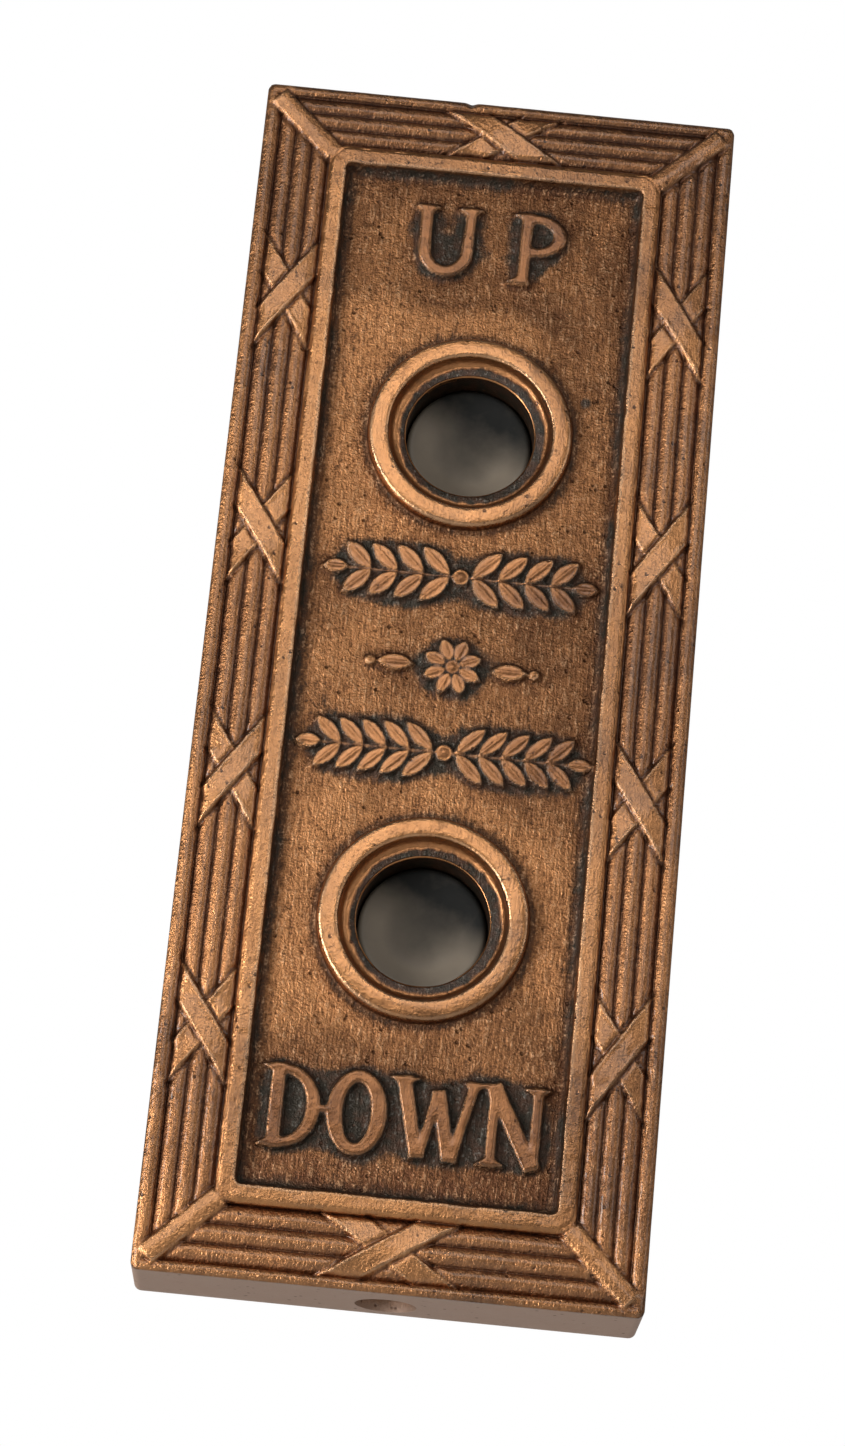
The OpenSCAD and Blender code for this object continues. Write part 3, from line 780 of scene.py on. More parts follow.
def tarnish_and_painted_shade(gx, gy, edge, reeds, rubbed_and_highlit, lifted, foot_rail):
    """How brown each spot is: tarnish in random patches, painted shade to the right and a painted light patch
    at the upper left; it is also darker at both ends and in the middle of the field
    """
    # Painted shade darkens the field to the right, and painted light brightens a patch at its upper left; the
    # random hills are tarnish
    tarnish = 1.2 * ease((gy - 66) / 10) + 1.1 * ease((-gy - 62) / 14) + 0.6 * ease((gx - 4) / 14)
    tarnish += 0.6 * ease((30 - np.abs(gy)) / 12) - 1.2 * spot(gx + 20, 9) * spot(gy - 60, 22)
    tarnish += 0.35 * hills(gx, gy, 8, 64) + 0.35 * hills(gx, gy, 21, 65)
    tarnish = tarnish * np.where(edge > 0, 0.45, 1) - 0.5 * rubbed_and_highlit + 0.4 * reeds
    tarnish += 0.7 * lifted * (np.abs(gy) > 30) - 0.5 * foot_rail * (edge > 0)
    return np.clip(tarnish, 0, 1)


def wear_and_shading_maps(s):
    """Rasters of the face: how proud and how sunk it is, and its film, sand, redness, tarnish with painted
    shade and light, and polish
    """
    step, pad = 0.25, 3.0
    xs = np.arange(-HALF_W - pad, HALF_W + pad, step)
    ys = np.arange(-HALF_H - pad, HALF_H + pad, step)
    gx, gy = np.meshgrid(xs, ys)
    z, nearest, ribbon = (found.reshape(gx.shape) for found in cover_height(gx.ravel(), gy.ravel(), s))
    ring_r = from_opening(gx, gy)
    # Low ground beside the plate and in the bores, so that the edges there stand proud
    z = np.where(to_outline(gx, gy) > 0, BORDER_Z - 1.4, z)
    z = np.where(ring_r < BORE_R, BORDER_Z - 5.5, z)
    fine, broad, wide = (z - blur(z, reach / step) for reach in (0.45, 1.5, 4.5))
    edge = to_recess(gx, gy)
    lifted = ease(-nearest / 0.4)
    on_ring = ease((WELL_R - 0.5 - ring_r) / 0.5)
    in_field = ease(-edge / 0.4) * (1 - lifted) * (1 - on_ring)
    band = ease((edge + 0.3) / 0.4) * ease((3.1 - edge) / 0.5)
    reeds = ease((edge - 3.2) / 0.5) * (1 - ribbon)
    # Bright metal along the shoulders of the raised work: edge wear and painted highlight
    rubbed_and_highlit = spot(nearest + 0.42, 0.22)
    foot_rail = ease((-gy - 94) / 10)
    level = 0.16 * in_field + 0.3 * ribbon - 1.05 * lifted + 0.05 * on_ring + 0.2 * band + 0.1 + 0.95 * rubbed_and_highlit
    proud = np.clip(level + 2.4 * np.maximum(fine, 0) + 0.35 * broad + 0.08 * wide, 0, 1)
    sunk = np.clip(-3.2 * fine - 0.9 * broad - 0.15 * wide, 0, 1) * (1 - 0.45 * foot_rail)
    sand = in_field + (0.62 - 0.2 * ribbon) * ease((edge - 3.0) / 0.5)
    sand += 0.45 * band + 0.2 * lifted + 0.25 * on_ring
    red = 0.6 * in_field * ease((-90.5 - gy) / 2) + 0.1 * in_field + 0.6 * (edge > 0) * ease(sunk / 0.25)
    red = np.maximum(red, 0.35 * np.exp(-np.abs(ring_r - WELL_R + 0.5) / 0.7))
    polish = 0.35 * reeds + 0.35 * ribbon + 0.2 * band + 0.12 * lifted + 0.5 * rubbed_and_highlit + 0.25 * on_ring
    return xs, ys, {"proud": proud, "sunk": sunk, "sand": np.clip(sand, 0, 1), "red": red, "polish": polish,
                    "film": dark_film(gx, gy, step, edge, nearest, in_field, ring_r),
                    "tarnish": tarnish_and_painted_shade(gx, gy, edge, reeds, rubbed_and_highlit, lifted, foot_rail)}


def sample(xs, ys, values, x, y):
    """Reads a raster between its cells"""
    u = np.clip((x - xs[0]) / (xs[1] - xs[0]), 0, len(xs) - 1.001)
    v = np.clip((y - ys[0]) / (ys[1] - ys[0]), 0, len(ys) - 1.001)
    i, j = u.astype(int), v.astype(int)
    return between(values[j, i], values[j, i + 1], values[j + 1, i], values[j + 1, i + 1], u - i, v - j)


def read(collection, name, width=1, kind=np.float32):
    """An array of a mesh's points, corners or faces, or one for each of the numbers that they hold"""
    found = np.empty(len(collection) * width, kind)
    collection.foreach_get(name, found)
    return found.reshape(-1, width).T.astype(float) if width > 1 else found


def coordinates(mesh):
    """Plate coordinates of a mesh's points"""
    x, y, z = read(mesh.vertices, "co", 3) / MM
    return x, z, -y


def store(mesh, name, values):
    mesh.attributes.new(name, "FLOAT", "POINT").data.foreach_set("value", values.astype(np.float32))


def paint_wear_and_shading(mesh, s):
    """Stores the wear and shading maps at the casting's points and adds the steps, bores, walls and inside"""
    x, y, z = coordinates(mesh)
    xs, ys, maps = wear_and_shading_maps(s)
    values = {name: sample(xs, ys, v, x, y) for name, v in maps.items()}
    r = from_opening(x, y)
    front = z > CAVITY_Z + 0.5
    outer = to_outline(x, y) > -0.3
    shifted = from_opening(x - 0.4, y) + 0.25 * hills(x, y, 1.4, 15)
    in_bore = (r < BORE_R + 0.02) & (z < 17.05)
    kinds = ("proud", "sunk", "film", "sand", "red")
    # The ring's inner slope, the step, the lip, the bore, its depth, the side walls and the inside
    places = (
        (front * ease((15.1 - r) / 0.5), 0.3, 0.15, 0.1, 0.2, 0),
        (front * ease((14.0 - shifted) / 1.0), 0.0, 0.5, 0.9, 1.0, 0),
        (front * ease((12.25 - r) / 0.15), 0.6, 0.0, 0.0, 0.0, 0),
        # The bore's wall is painted dark, darker with depth: painted shade
        (in_bore * ease((17.2 - z) / 0.3), 0.0, 0.6, 0.75, 0.2, 0),
        (in_bore * ease((16.2 - z) / 1.5), 0.0, 1.0, 1.0, 0.1, 0),
        (outer * ease((18.7 - z) / 0.4), 0.3, 0.1, 0.0, 0.15, 0),
        (1.0 * (~outer & ~front & (r > BORE_R + 0.02)), 0.0, 0.7, 0.3, 0.9, 0.2),
    )
    for share, *levels in places:
        for kind, level in zip(kinds, levels):
            values[kind] = values[kind] + (level - values[kind]) * share
    wall = outer * ease((18.9 - z) / 0.8) * np.where(y < CORNER_R - HALF_H, 1, 0.6)
    values["wall"] = wall
    values["polish"] *= front * (1 - wall) * np.where(r < 14.5, 0.4, 1)
    for name, found in values.items():
        store(mesh, name, found)


def lay_out(mesh):
    """The casting's map for baking: its face in one piece, with walls, bores and inside beside it"""
    x, y, z = coordinates(mesh)
    corners = read(mesh.loops, "vertex_index", kind=np.int32)
    totals = read(mesh.polygons, "loop_total", kind=np.int32)
    # How far each face's normal points to the right, into the wall and up the plate
    nx, back, ny = read(mesh.polygons, "normal", 3)
    starts = np.cumsum(totals) - totals
    owner = np.repeat(np.arange(len(totals)), totals)
    x, y, z = x[corners], y[corners], z[corners]
    cx, cy, cz = (np.add.reduceat(v, starts) / totals for v in (x, y, z))
    mid = np.where(cy > 0, *OPENINGS)
    outer = to_outline(cx, cy) > -0.3
    bore = (np.hypot(cx, cy - mid) < BORE_R + 0.2) & (cz > COLLAR_Z) & (cz < 17.1)
    front = (cz > CAVITY_Z + 0.5) & ~bore & (~outer | (back < -0.5))
    wall = outer & ~front
    inner = ~front & ~bore & ~outer
    across, flat = np.abs(nx) >= np.abs(ny), np.abs(back) > 0.6
    angle = np.arctan2(y - mid[owner], x)
    wraps = np.maximum.reduceat(angle, starts) - np.minimum.reduceat(angle, starts) > math.pi
    angle = angle + 2 * math.pi * (wraps[owner] & (angle < 0))
    right, up, out, turned = x + HALF_W + 1, y + HALF_H + 1, z + 0.5, (angle + math.pi) * BORE_R
    unit = 2 * HALF_H + 3
    # Faces, the coordinates they are laid out by, their scale, and where their left lower corner goes
    places = (
        (front, right, up, 1.0, 0.0, 0.0),
        (bore & (cy > 0), turned, out, 0.55, 0.40, 0.74),
        (bore & (cy < 0), turned, out, 0.55, 0.40, 0.81),
        (wall & across & (nx < 0), out, up, 1.0, 0.64, 0.0),
        (wall & across & (nx >= 0), out, up, 1.0, 0.75, 0.0),
        (wall & ~across & (ny < 0), right, out, 0.55, 0.40, 0.60),
        (wall & ~across & (ny >= 0), right, out, 0.55, 0.40, 0.67),
        (inner & flat & (back > 0), right, up, 0.55, 0.40, 0.0),
        (inner & flat & (back <= 0), right, up, 0.3, 0.86, 0.35),
        (inner & ~flat & across & (nx < 0), out, up, 0.3, 0.86, 0.0),
        (inner & ~flat & across & (nx >= 0), out, up, 0.3, 0.91, 0.0),
        (inner & ~flat & ~across & (ny < 0), right, out, 0.3, 0.40, 0.90),
        (inner & ~flat & ~across & (ny >= 0), right, out, 0.3, 0.40, 0.94),
    )
    uv = np.zeros((len(corners), 2), np.float32)
    for faces, u, v, scale, left, low in places:
        here = faces[owner]
        uv[here] = np.column_stack([left + scale * u[here] / unit, low + scale * v[here] / unit])
    mesh.uv_layers.new(name="OFBake").data.foreach_set("uv", uv.ravel())


def mesh_of(bm, name):
    mesh = bpy.data.meshes.new(name)
    bm.to_mesh(mesh)
    bm.free()
    return mesh


def plain_piece(node):
    """The faces of a node, ready to be changed, with its double points joined"""
    bm = bmesh.new()
    bm.from_mesh(frame["nodes"][node].data)
    bmesh.ops.remove_doubles(bm, verts=bm.verts[:], dist=1e-6)
    return bm


def casting_outside(s):
    """The casting's front and side walls"""
    shell = Shell()
    across, up, ids = add_face_grid(shell, s)
    for mid in OPENINGS:
        square = around(across, up, ids, (-WELL_HALF, WELL_HALF), (mid - WELL_HALF, mid + WELL_HALF))
        add_opening(shell, square, mid, s)
    add_side_walls(shell, around(across, up, ids, (-HALF_W, HALF_W), (-HALF_H, HALF_H)))
    x, y, z = np.concatenate(shell.points).T
    mesh = bpy.data.meshes.new("casting_outside")
    mesh.from_pydata((np.column_stack([x, -z, y]) * MM).tolist(), [], np.concatenate(shell.faces).tolist())
    return mesh


def make_casting(s):
    """The fine outside joined to the inside of the plain cover"""
    bm = plain_piece("cover")
    bmesh.ops.delete(bm, geom=[f for f in bm.faces if not is_inner(f)], context="FACES")
    inner_count = len(bm.faces)
    outside = casting_outside(s)
    outside_end = inner_count + len(outside.polygons)
    bm.from_mesh(outside)
    bpy.data.meshes.remove(outside)
    close_openings(bm)
    bmesh.ops.recalc_face_normals(bm, faces=bm.faces[:])
    bm.faces.index_update()
    for f in bm.faces:
        f.smooth = True
    for e in bm.edges:
        on_outside = all(inner_count <= f.index < outside_end for f in e.link_faces)
        e.smooth = on_outside or e.calc_face_angle(0) < SHARP
    return mesh_of(bm, "cover_casting")


def add_object(name, mesh, body, slot, *replaced):
    mesh.materials.append(finish_for(slot))
    piece = bpy.data.objects.new(name, mesh)
    bpy.context.scene.collection.objects.link(piece)
    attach(piece, body)
    if replaced:
        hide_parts(*replaced)
    return piece


class Value:
    """What a node puts out; sums and products of values are made by math nodes"""

    def __init__(self, nodes, socket):
        self.nodes, self.socket = nodes, socket

    def __add__(self, other):
        return self.nodes.math("ADD", self, other)

    def __sub__(self, other):
        return self.nodes.math("SUBTRACT", self, other)

    def __mul__(self, other):
        return self.nodes.math("MULTIPLY", self, other)

    def __rtruediv__(self, other):
        return self.nodes.math("DIVIDE", other, self)

    def clamped(self):
        self.socket.node.use_clamp = True
        return self


class Nodes:
    """Places the nodes of one material or group and joins them"""

    def __init__(self, tree):
        self.tree = tree

    def put(self, value, socket):
        """Joins a value to a socket, or writes a plain number or colour into it"""
        if isinstance(value, Value):
            self.tree.links.new(value.socket, socket)
        elif socket.type == "RGBA":
            socket.default_value = (*value[:3], 1)
        else:
            socket.default_value = value

    def add(self, kind, inputs=None, **settings):
        node = self.tree.nodes.new(kind)
        for name, value in settings.items():
            setattr(node, name, value)
        for name, value in (inputs or {}).items():
            self.put(value, node.inputs[name])
        return node

    def value(self, kind, output=0, inputs=None, **settings):
        """What a new node puts out"""
        return Value(self, self.add(kind, inputs, **settings).outputs[output])

    def math(self, operation, a, b):
        return self.value("ShaderNodeMath", 0, {0: a, 1: b}, operation=operation)

    def mix(self, share, a, b):
        return self.value("ShaderNodeMix", 2, {0: share, 6: a, 7: b}, data_type="RGBA")

    def ramp(self, value, low, high, to_low=0.0, to_high=1.0):
        """A value that runs straight between two numbers while another runs between low and high"""
        ends = {"From Min": low, "From Max": high, "To Min": to_low, "To Max": to_high}
        return self.value("ShaderNodeMapRange", 0, {"Value": value, **ends})

    def place(self, stretch=(1, 1, 1)):
        where = self.value("ShaderNodeTexCoord", "Object")
        return self.value("ShaderNodeMapping", 0, {"Vector": where, "Scale": stretch})

    def noise(self, place, scale, detail=3.0, rough=0.55):
        inputs = {"Vector": place, "Scale": scale, "Detail": detail, "Roughness": rough}
        return self.value("ShaderNodeTexNoise", "Fac", inputs)

    def swing(self, stretch, scale, detail, rough):
        """Noise from -1 to 1"""
        return self.ramp(self.noise(self.place(stretch), scale, detail, rough), 0.3, 0.7, -1, 1)

    def attribute(self, name):
        return self.value("ShaderNodeAttribute", "Fac", attribute_name=name)

    def bump(self, height, strength, distance):
        inputs = {"Height": height, "Strength": strength, "Distance": distance}
        return self.value("ShaderNodeBump", 0, inputs)

    def use(self, name, **inputs):
        """Places a shared group, made when it is first used, and returns what it puts out by name"""
        group = bpy.data.node_groups.get(name) or SHARED_GROUPS[name](name)
        named = {label.replace("_", " ").capitalize(): value for label, value in inputs.items()}
        node = self.add("ShaderNodeGroup", named, node_tree=group)
        return {socket.name: Value(self, socket) for socket in node.outputs}


def new_group(name, inputs, outputs):
    """A shader node group with float inputs and outputs: its nodes, its inputs and its output node"""
    group = bpy.data.node_groups.new(name, "ShaderNodeTree")
    for label, value in inputs.items():
        group.interface.new_socket(label, in_out="INPUT", socket_type="NodeSocketFloat").default_value = value
    for label in outputs:
        group.interface.new_socket(label, in_out="OUTPUT", socket_type="NodeSocketFloat")
    n = Nodes(group)
    given = {socket.name: Value(n, socket) for socket in n.add("NodeGroupInput").outputs}
    return n, given, n.add("NodeGroupOutput").inputs


def make_cast_grain(name):
    """Fine sandy grain of a casting: its height, its dark pits and the height from -1 to 1"""
    inputs = {"Grain size": 0.0005, "Pit size": 0.0016, "Streak": 0.0}
    n, given, out = new_group(name, inputs, ["Height", "Pits", "Swing"])
    size, pit_size = given["Grain size"], given["Pit size"]
    place = n.place()
    fine = n.noise(place, 1.0 / size, 2.5, 0.62)
    coarse = n.noise(place, 0.36 / size, 2.0, 0.5)
    drawn = n.noise(n.place((1, 1, 0.16)), 0.8 / size, 2.0, 0.6)
    cells = n.value("ShaderNodeTexVoronoi", "Distance", {"Vector": place, "Scale": 1.0 / pit_size})
    some = n.ramp(n.noise(place, 0.5 / pit_size, 1.0), 0.54, 0.62)
    pits = n.ramp(cells, 0.10, 0.24, 1, 0) * some
    height = fine * 0.6 + coarse * 0.4 + (drawn - 0.5) * given["Streak"]
    n.put(height - pits * 0.5, out["Height"])
    n.put(pits, out["Pits"])
    n.put(n.ramp(height, 0.32, 0.68, -1, 1), out["Swing"])
    return n.tree


def make_handling(name):
    """Smudges and fine scratches: what they add to roughness, and their height"""
    n, given, out = new_group(name, {"Amount": 1.0}, ["Roughness", "Height"])
    smudge = n.noise(n.place(), 160.0, 3.0, 0.6)
    lines = n.noise(n.place((1, 1, 14)), 420.0, 2.0, 0.6) * n.noise(n.place((14, 1, 1)), 380.0, 2.0, 0.6)
    n.put((smudge - 0.5) * given["Amount"] * 0.35, out["Roughness"])
    n.put(lines * given["Amount"], out["Height"])
    return n.tree


SHARED_GROUPS = {"Cast grain": make_cast_grain, "Handling": make_handling}


class Finish(Nodes):
    """The nodes of a new material with a Principled shader"""

    def __init__(self, name):
        self.material = bpy.data.materials.new(f"{name}_finish")
        self.material.use_nodes = True
        super().__init__(self.material.node_tree)

    def shade(self, **sockets):
        """Gives the shader's sockets their values, and returns the material"""
        for label, value in sockets.items():
            self.put(value, self.tree.nodes["Principled BSDF"].inputs[label.replace("_", " ")])
        return self.material


def bronze_material(c):
    """Cast bronze: worn high spots with painted highlights, brown and red hollows, a green black film round
    the raised work, and painted shade and light in its brownness
    """
    n = Finish("cast_bronze")
    kinds = ("proud", "sunk", "film", "sand", "red", "tarnish", "polish", "wall")
    proud, sunk, film, sand, red, tarnish, polish, wall = (n.attribute(kind) for kind in kinds)
    grain = n.use("Cast grain", grain_size=0.00045, pit_size=0.0017, streak=0.5)
    handling = n.use("Handling", amount=0.6)
    clouds = n.swing((1, 1, 1), 75.0, 5.0, 0.6)
    patch = n.swing((1, 1, 1), 420.0, 4.0, 0.62)
    streak = n.swing((1, 1, 0.1), 900.0, 3.0, 0.6)
    stipple = grain["Swing"] * sand
    uneven = clouds * 0.2 + patch * 0.14 + streak * n.ramp(sand, 0, 1, 0.05, 0.15) + stipple * 0.25
    high = (proud + uneven * 0.6).clamped()
    colour = n.mix(n.ramp(high, 0.05, 0.6), c.bronze, c.polished)
    colour = n.mix(n.ramp(high, 0.72, 1.0, 0, 0.75), colour, c.bright)
    colour = n.mix(n.ramp(red + patch * 0.35, 0.25, 1.0, 0, 0.8), colour, c.reddish)
    shade = (sunk * 1.2 - uneven * 0.75).clamped()
    # Tarnish with painted shade and light, from the map, and random clouds
    tarnish_and_shade = tarnish + (clouds + patch * 0.5) * 0.5
    for share in (n.ramp(shade, 0.06, 0.8, 0, 0.8), n.ramp(tarnish_and_shade, -0.15, 1.3, 0, 0.82),
                  n.ramp(stipple, -0.1, -0.9, 0, 0.6)):
        colour = n.mix(share, colour, c.brown)
    # Bright grains: grain tone and painted glints
    colour = n.mix(n.ramp(stipple, 0.2, 0.9, 0, 0.5), colour, c.bright)
    dark = n.ramp(film - uneven * 0.8, 0.16, 0.72, 0, 0.97)
    grime = n.mix(n.ramp(patch, -0.5, 0.6, 0, 0.6), c.verdigris, c.brown)
    colour = n.mix(dark, colour, n.mix(n.ramp(stipple, 0.35, 0.95, 0, 0.6), grime, c.glint))
    colour = n.mix(n.ramp(wall + uneven * 0.3, 0.4, 0.9), colour, c.dull)
    colour = n.mix(grain["Pits"] * 0.8, colour, c.brown)
    rough = n.ramp(high, 0.1, 0.8, 0.34, 0.27) + handling["Roughness"] + shade * 0.1 + wall * 0.3
    return n.shade(Base_Color=colour, Roughness=rough.clamped(),
                   Metallic=n.ramp(dark, 0, 1, 1.0, 0.6) - wall * 0.4,
                   Normal=n.bump(grain["Height"] * n.ramp(sand, 0, 1, 0.06, 1), 1.0, 0.00055),
                   Coat_Weight=(polish * n.ramp(clouds, -1, 1, 0.4, 1.5)).clamped(), Coat_Roughness=0.12)


def button_material(c):
    """Dark moulding with painted light low on the left and painted shade at the top; smoother where fingers
    press
    """
    n = Finish("button_black")
    # The worn mask carries painted light and shade for the colour, and smoothness for the roughness
    worn = n.attribute("worn")
    handling = n.use("Handling", amount=0.7)
    tone = n.ramp(n.noise(n.place(), 260.0, 3.0, 0.6), 0.3, 0.7, -0.06, 0.06)
    rough = handling["Roughness"] + n.ramp(worn, 0, 1, 0.75, 0.42)
    return n.shade(Base_Color=n.mix((worn + tone).clamped(), c.button_shade, c.button), Roughness=rough.clamped(),
                   Metallic=0.0, Specular_IOR_Level=0.25, Normal=n.bump(handling["Height"], 0.3, 0.00003))


def block_material(c):
    """Moulded insulating plastic with a faint skin"""
    n = Finish("block_black")
    handling = n.use("Handling", amount=0.7)
    tone = n.ramp(n.noise(n.place(), 240.0, 3.0, 0.6), 0.3, 0.75)
    lighter = tuple(v * 1.35 + 0.004 for v in c.block)
    rough = handling["Roughness"] + 0.5
    return n.shade(Base_Color=n.mix(tone, c.block, lighter), Roughness=rough.clamped(), Metallic=0.0,
                   Normal=n.bump(handling["Height"], 0.3, 0.00005))


def metal_material(slot, colour, tarnish, rough, grain_size, strength):
    """Turned, drawn or plated metal with tarnish in patches"""
    n = Finish(slot)
    grain = n.use("Cast grain", grain_size=grain_size, pit_size=0.0013)
    handling = n.use("Handling", amount=1.0)
    patches = n.ramp(n.noise(n.place(), 210.0, 4.0, 0.65), 0.42, 0.68)
    base = n.mix(patches * 0.75, colour, tarnish)
    base = n.mix(grain["Pits"] * 0.5, base, tuple(v * 0.35 for v in tarnish))
    roughness = n.ramp(patches, 0, 1, rough, rough + 0.18) + handling["Roughness"]
    return n.shade(Base_Color=base, Roughness=roughness.clamped(), Metallic=1.0,
                   Normal=n.bump(grain["Height"] + handling["Height"], strength, 0.00008))


def fibre_material(c):
    """Vulcanised fibre with short dark and light strands"""
    n = Finish("red_fibre")
    strands = n.noise(n.place((1, 5, 1)), 1300.0, 3.0, 0.6)
    colour = n.mix(n.ramp(strands, 0.35, 0.7), c.fibre, tuple(v * 1.7 for v in c.fibre))
    return n.shade(Base_Color=colour, Roughness=n.ramp(strands, 0.3, 0.7, 0.75, 0.6), Metallic=0.0,
                   Normal=n.bump(strands, 0.3, 0.00005))


# For each metal: its colour, and its tarnish, roughness, size of grain and depth of grain
METALS = {
    "turned_brass": ("brass", (0.3, 0.19, 0.085), 0.3, 0.0004, 0.35),
    "plated_steel": ("steel", (0.3, 0.29, 0.27), 0.36, 0.0005, 0.4),
    "spring_steel": ("wire", (0.2, 0.19, 0.18), 0.28, 0.0003, 0.2),
    "contact_copper": ("copper", (0.28, 0.13, 0.085), 0.3, 0.0004, 0.3),
}
OTHER_FINISHES = {"cast_bronze": bronze_material, "button_black": button_material,
                  "block_black": block_material, "red_fibre": fibre_material}


def finish_for(slot):
    """The material of a slot of the record, made once"""
    colours = bpy.context.scene.plate_colours
    made = bpy.data.materials.get(f"{slot}_finish")
    if made:
        return made
    if slot in METALS:
        name, *rest = METALS[slot]
        return metal_material(slot, getattr(colours, name), *rest)
    return OTHER_FINISHES[slot](colours)


# Front of a button from its middle to the foot of its skirt: radius and height over the wall
BUTTON_FRONT = [(0.4, 10.2), (2.5, 10.25), (5.0, 10.48), (7.2, 10.92), (8.9, 11.45), (10.0, 11.8),
                (10.7, 11.94), (11.2, 11.82), (11.5, 11.48), (11.6, 10.9), (11.6, 9.9)]
BUTTON_FOOT = 9.55


def button_mesh(unit, mid):
    """The button with a fine dished front in place of the plain one"""
    bm = plain_piece(f"button_{unit}")

    def in_front(face):
        place = face.calc_center_median() / MM
        return -place.y > BUTTON_FOOT and (-place.y > 9.7 or math.hypot(place.x, place.z - mid) > 2.2)

    bmesh.ops.delete(bm, geom=[f for f in bm.faces if in_front(f)], context="FACES")
    for e in bm.edges:
        e.smooth = e.is_boundary or e.calc_face_angle(0) < SHARP
    foot = {v for e in bm.edges if len(e.link_faces) == 1 for v in e.verts}
    angles = np.radians(np.arange(0, 360, 2.5))
    rows = []
    for r, z in smooth_line(BUTTON_FRONT, 3):
        x, y = r * np.cos(angles), r * np.sin(angles)
        z = z + 0.012 * hills(x, y + mid, 2.6, 51)
        rows.append([bm.verts.new(Vector((a, -c, b + mid)) * MM) for a, b, c in zip(x, y, z)])
    bm.faces.new(rows[0])
    for inner, outer in zip(rows, rows[1:]):
        for k in range(len(angles)):
            j = (k + 1) % len(angles)
            bm.faces.new((inner[k], inner[j], outer[j], outer[k]))
    zip_rows(bm, by_angle(rows[-1], mid), by_angle(foot, mid))
    bmesh.ops.recalc_face_normals(bm, faces=bm.faces[:])
    for f in bm.faces:
        f.smooth = True
    mesh = mesh_of(bm, f"push_button_{unit}")
    x, y, z = coordinates(mesh)
    # Painted light and shade: paler low on the left of the dish and dark towards its top; the same mask sets
    # where it is smoother
    store(mesh, "worn", ease((2.5 - (y - mid) - 0.45 * x) / 11 + 0.5) * ease((z - 9.6) / 1.5))
    return mesh


def coil_mesh(name, low, high, mid_x, mid_z):
    """A coil spring along Y with closed ends, between two levels"""
    coil_r, wire_r, turns, closed = 0.005, 0.00035, 4.5, 0.75
    flat = closed * 2 * wire_r * 1.08
    steps, ring = 34, 12
    t = np.arange(int(turns * steps) + 1) / steps
    bottom, top = low + wire_r * 1.1, high - wire_r * 1.1
    level = np.interp(t, [0, closed, turns - closed, turns], [bottom, bottom + flat, top - flat, top])
    a = 2 * math.pi * t[:, None]
    b = 2 * math.pi * np.arange(ring)[None] / ring
    r = coil_r + wire_r * np.cos(b)
    out = level[:, None] + wire_r * np.sin(b)
    points = np.stack([mid_x + r * np.cos(a), -out, mid_z + r * np.sin(a)], -1)
    mesh = bpy.data.meshes.new(name)
    ids = np.arange(points.shape[0] * ring).reshape(-1, ring)
    nxt = np.roll(ids, -1, 1)
    faces = np.stack([ids[:-1], nxt[:-1], nxt[1:], ids[1:]], -1).reshape(-1, 4).tolist()
    faces += [ids[0][::-1].tolist(), ids[-1].tolist()]
    mesh.from_pydata(points.reshape(-1, 3).tolist(), [], faces)
    mesh.polygons.foreach_set("use_smooth", [True] * len(mesh.polygons))
    bm = bmesh.new()
    bm.from_mesh(mesh)
    bmesh.ops.recalc_face_normals(bm, faces=bm.faces[:])
    bm.to_mesh(mesh)
    bm.free()
    return mesh


def area_light(name, at, aim, width, height, power):
    light = bpy.data.lights.new(name, "AREA")
    light.shape = "RECTANGLE"
    light.size, light.size_y = width, height
    light.energy = power
    lamp = bpy.data.objects.new(name, light)
    bpy.context.scene.collection.objects.link(lamp)
    lamp.location = at
    lamp.visible_camera = False
    lamp.rotation_euler = (Vector(aim) - Vector(at)).to_track_quat("-Z", "Y").to_euler()


# The camera: its lens in mm, its place in m, and the directions to its right, its top and its back
LENS = 102.43
CAMERA_AT = (-0.00328, -0.72063, -0.25222)
CAMERA_AXES = ((0.9952, -0.0316, 0.0928), (-0.0981, -0.3243, 0.9409), (0.0004, -0.9454, -0.3258))
FLOOR_LEVEL = -0.45


def place_camera(scene):
    camera = bpy.data.objects.new("camera", bpy.data.cameras.new("camera"))
    scene.collection.objects.link(camera)
    camera.data.sensor_width = 36
    camera.data.lens = LENS
    camera.data.clip_start = 0.01
    turn = Matrix(CAMERA_AXES).transposed().to_quaternion()
    camera.matrix_world = Matrix.LocRotScale(Vector(CAMERA_AT), turn, None)
    scene.camera = camera


def lay_floor(scene):
    bm = bmesh.new()
    bmesh.ops.create_grid(bm, x_segments=8, y_segments=8, size=3)
    floor = bpy.data.objects.new("floor", mesh_of(bm, "floor"))
    scene.collection.objects.link(floor)
    floor.location = (0, 0, FLOOR_LEVEL)
    n = Finish("studio_floor")
    tone = n.ramp(n.noise(n.place(), 3.0), 0.3, 0.7)
    pale = tuple(scene.plate_colours.floor)
    colour = n.mix(tone, tuple(v * 0.97 for v in pale), pale)
    floor.data.materials.append(n.shade(Base_Color=colour, Roughness=0.9))


def light_room(scene, level):
    """A white room, brighter along Y for what it lights and even for the camera"""
    world = bpy.data.worlds.new("studio")
    scene.world = world
    world.use_nodes = True
    n = Nodes(world.node_tree)
    sky = world.node_tree.nodes["Background"]
    n.put((1.0, 1.0, 1.0), sky.inputs["Color"])
    seen = n.value("ShaderNodeLightPath", "Is Camera Ray")
    where = n.value("ShaderNodeSeparateXYZ", "Y", {"Vector": n.value("ShaderNodeTexCoord", "Generated")})
    room = n.ramp(where, 0.0, 0.7, level, level + 0.4)
    n.put(n.ramp(seen, 0, 1, room, 1.0), sky.inputs["Strength"])


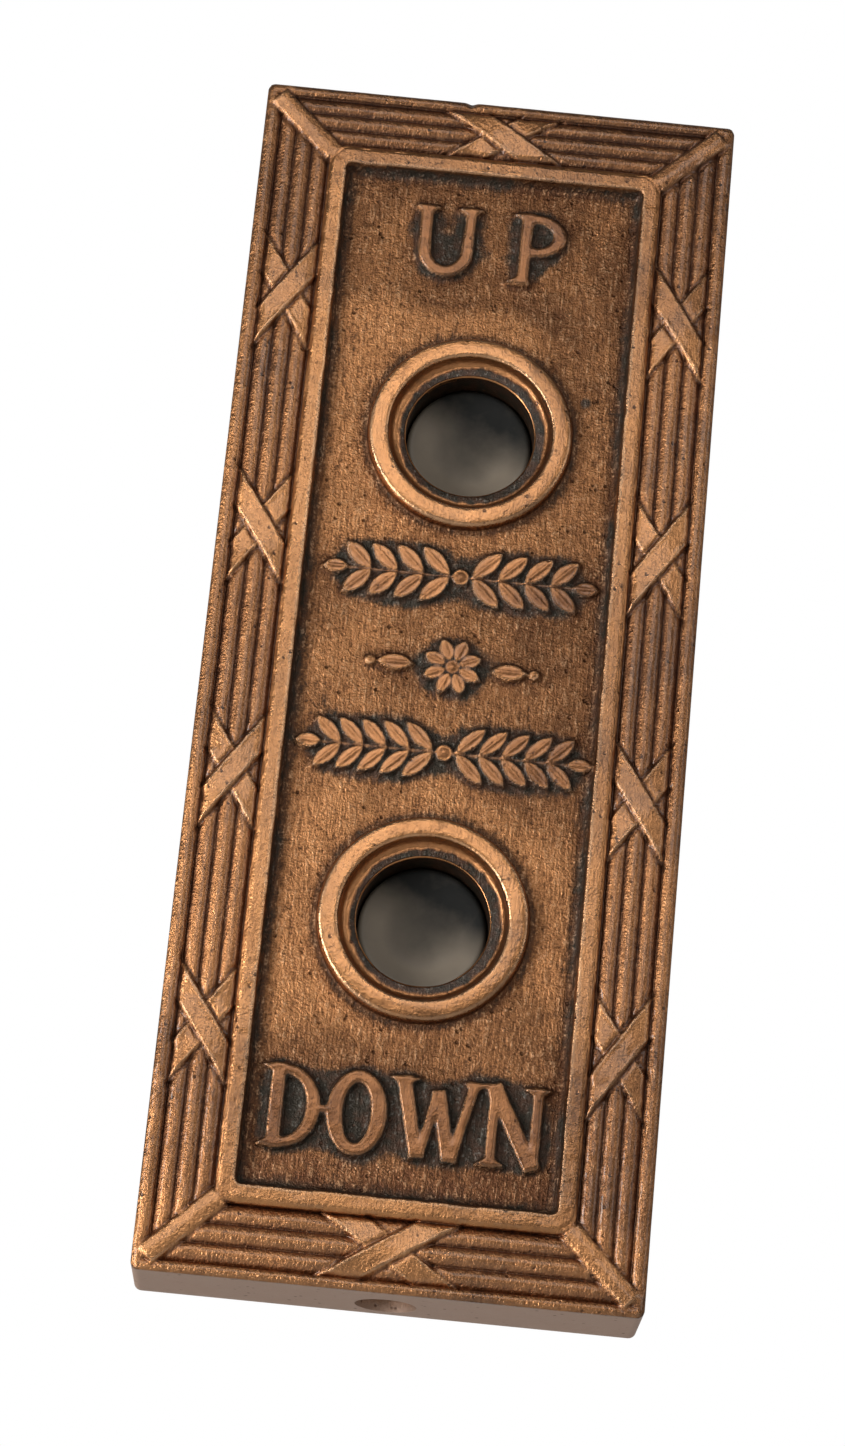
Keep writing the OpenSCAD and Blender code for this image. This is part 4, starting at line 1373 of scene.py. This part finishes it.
class CALLPLATE_OT_stage(bpy.types.Operator):
    """Sets up the camera, the pale floor and the soft studio light"""
    bl_idname = "callplate.stage"
    bl_label = "Stage"

    def execute(self, context):
        scene = context.scene
        light = scene.studio_light
        place_camera(scene)
        area_light("key", (-0.93, -0.68, -0.2), (0, 0, 0), 0.3, 0.8, light.key)
        area_light("front", (-0.12, -1.1, 0.45), (0, 0, 0), 0.8, 0.6, light.front)
        area_light("fill", (0.9, -0.7, 0.3), (0, 0, 0), 0.4, 0.6, light.fill)
        area_light("bounce", (-0.1, 0.62, -0.36), (0, 0, -0.11), 0.8, 0.5, light.bounce)
        lay_floor(scene)
        light_room(scene, light.room)
        scene.view_settings.view_transform = "Standard"
        return {"FINISHED"}


class CALLPLATE_OT_casting(bpy.types.Operator):
    """Makes the cast cover with its border, rings, letters and ornament"""
    bl_idname = "callplate.casting"
    bl_label = "Casting"

    def execute(self, context):
        s = sizes()
        mesh = make_casting(s)
        paint_wear_and_shading(mesh, s)
        lay_out(mesh)
        add_object("cover_casting", mesh, "panel", "cast_bronze", "cover")
        return {"FINISHED"}


class CALLPLATE_OT_buttons(bpy.types.Operator):
    """Makes the two dished push buttons"""
    bl_idname = "callplate.buttons"
    bl_label = "Buttons"

    def execute(self, context):
        for unit, mid in zip(UNITS, OPENINGS):
            add_object(f"push_button_{unit}", button_mesh(unit, mid), f"{unit}_button", "button_black",
                       f"button_{unit}")
        return {"FINISHED"}


class CALLPLATE_OT_springs(bpy.types.Operator):
    """Makes the two coil springs"""
    bl_idname = "callplate.springs"
    bl_label = "Springs"

    def execute(self, context):
        for unit in UNITS:
            low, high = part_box(f"return_spring_{unit}")
            mid = (low + high) / 2
            mesh = coil_mesh(f"spring_{unit}", -high.y, -low.y, mid.x, mid.z)
            piece = add_object(f"coil_spring_{unit}", mesh, "panel", "spring_steel", f"return_spring_{unit}")
            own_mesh(piece)
        return {"FINISHED"}


class CALLPLATE_OT_finishes(bpy.types.Operator):
    """Gives every other piece the finish of its slot"""
    bl_idname = "callplate.finishes"
    bl_label = "Finishes"

    def execute(self, context):
        for row in frame["record"]["subparts"]:
            node = frame["nodes"][row["node"]]
            node.data.materials.clear()
            node.data.materials.append(finish_for(row["material_slot"]))
        return {"FINISHED"}


class CALLPLATE_PT_sidebar(bpy.types.Panel):
    """Lists the steps that make the call plate"""
    bl_idname = "CALLPLATE_PT_sidebar"
    bl_label = "Call plate"
    bl_space_type = "VIEW_3D"
    bl_region_type = "UI"
    bl_category = "Call plate"

    def draw(self, context):
        for step in OPERATORS:
            self.layout.operator(step.bl_idname)
        for group in (context.scene.plate_sizes, context.scene.plate_colours, context.scene.studio_light):
            box = self.layout.box()
            for name in property_names(group):
                box.prop(group, name)


GROUPS = {"plate_sizes": PlateSizes, "plate_colours": PlateColours, "studio_light": StudioLight}
OPERATORS = (CALLPLATE_OT_stage, CALLPLATE_OT_finishes, CALLPLATE_OT_casting, CALLPLATE_OT_buttons,
             CALLPLATE_OT_springs)


def register():
    for cls in (*GROUPS.values(), *OPERATORS, CALLPLATE_PT_sidebar):
        bpy.utils.register_class(cls)
    for name, group in GROUPS.items():
        setattr(bpy.types.Scene, name, bpy.props.PointerProperty(type=group))


def unregister():
    for name in GROUPS:
        delattr(bpy.types.Scene, name)
    for cls in (CALLPLATE_PT_sidebar, *OPERATORS[::-1], *list(GROUPS.values())[::-1]):
        bpy.utils.unregister_class(cls)


def main():
    register()
    bpy.ops.callplate.stage()
    bpy.ops.callplate.finishes()
    bpy.ops.callplate.casting()
    bpy.ops.callplate.buttons()
    bpy.ops.callplate.springs()


if __name__ == "__main__":
    main()
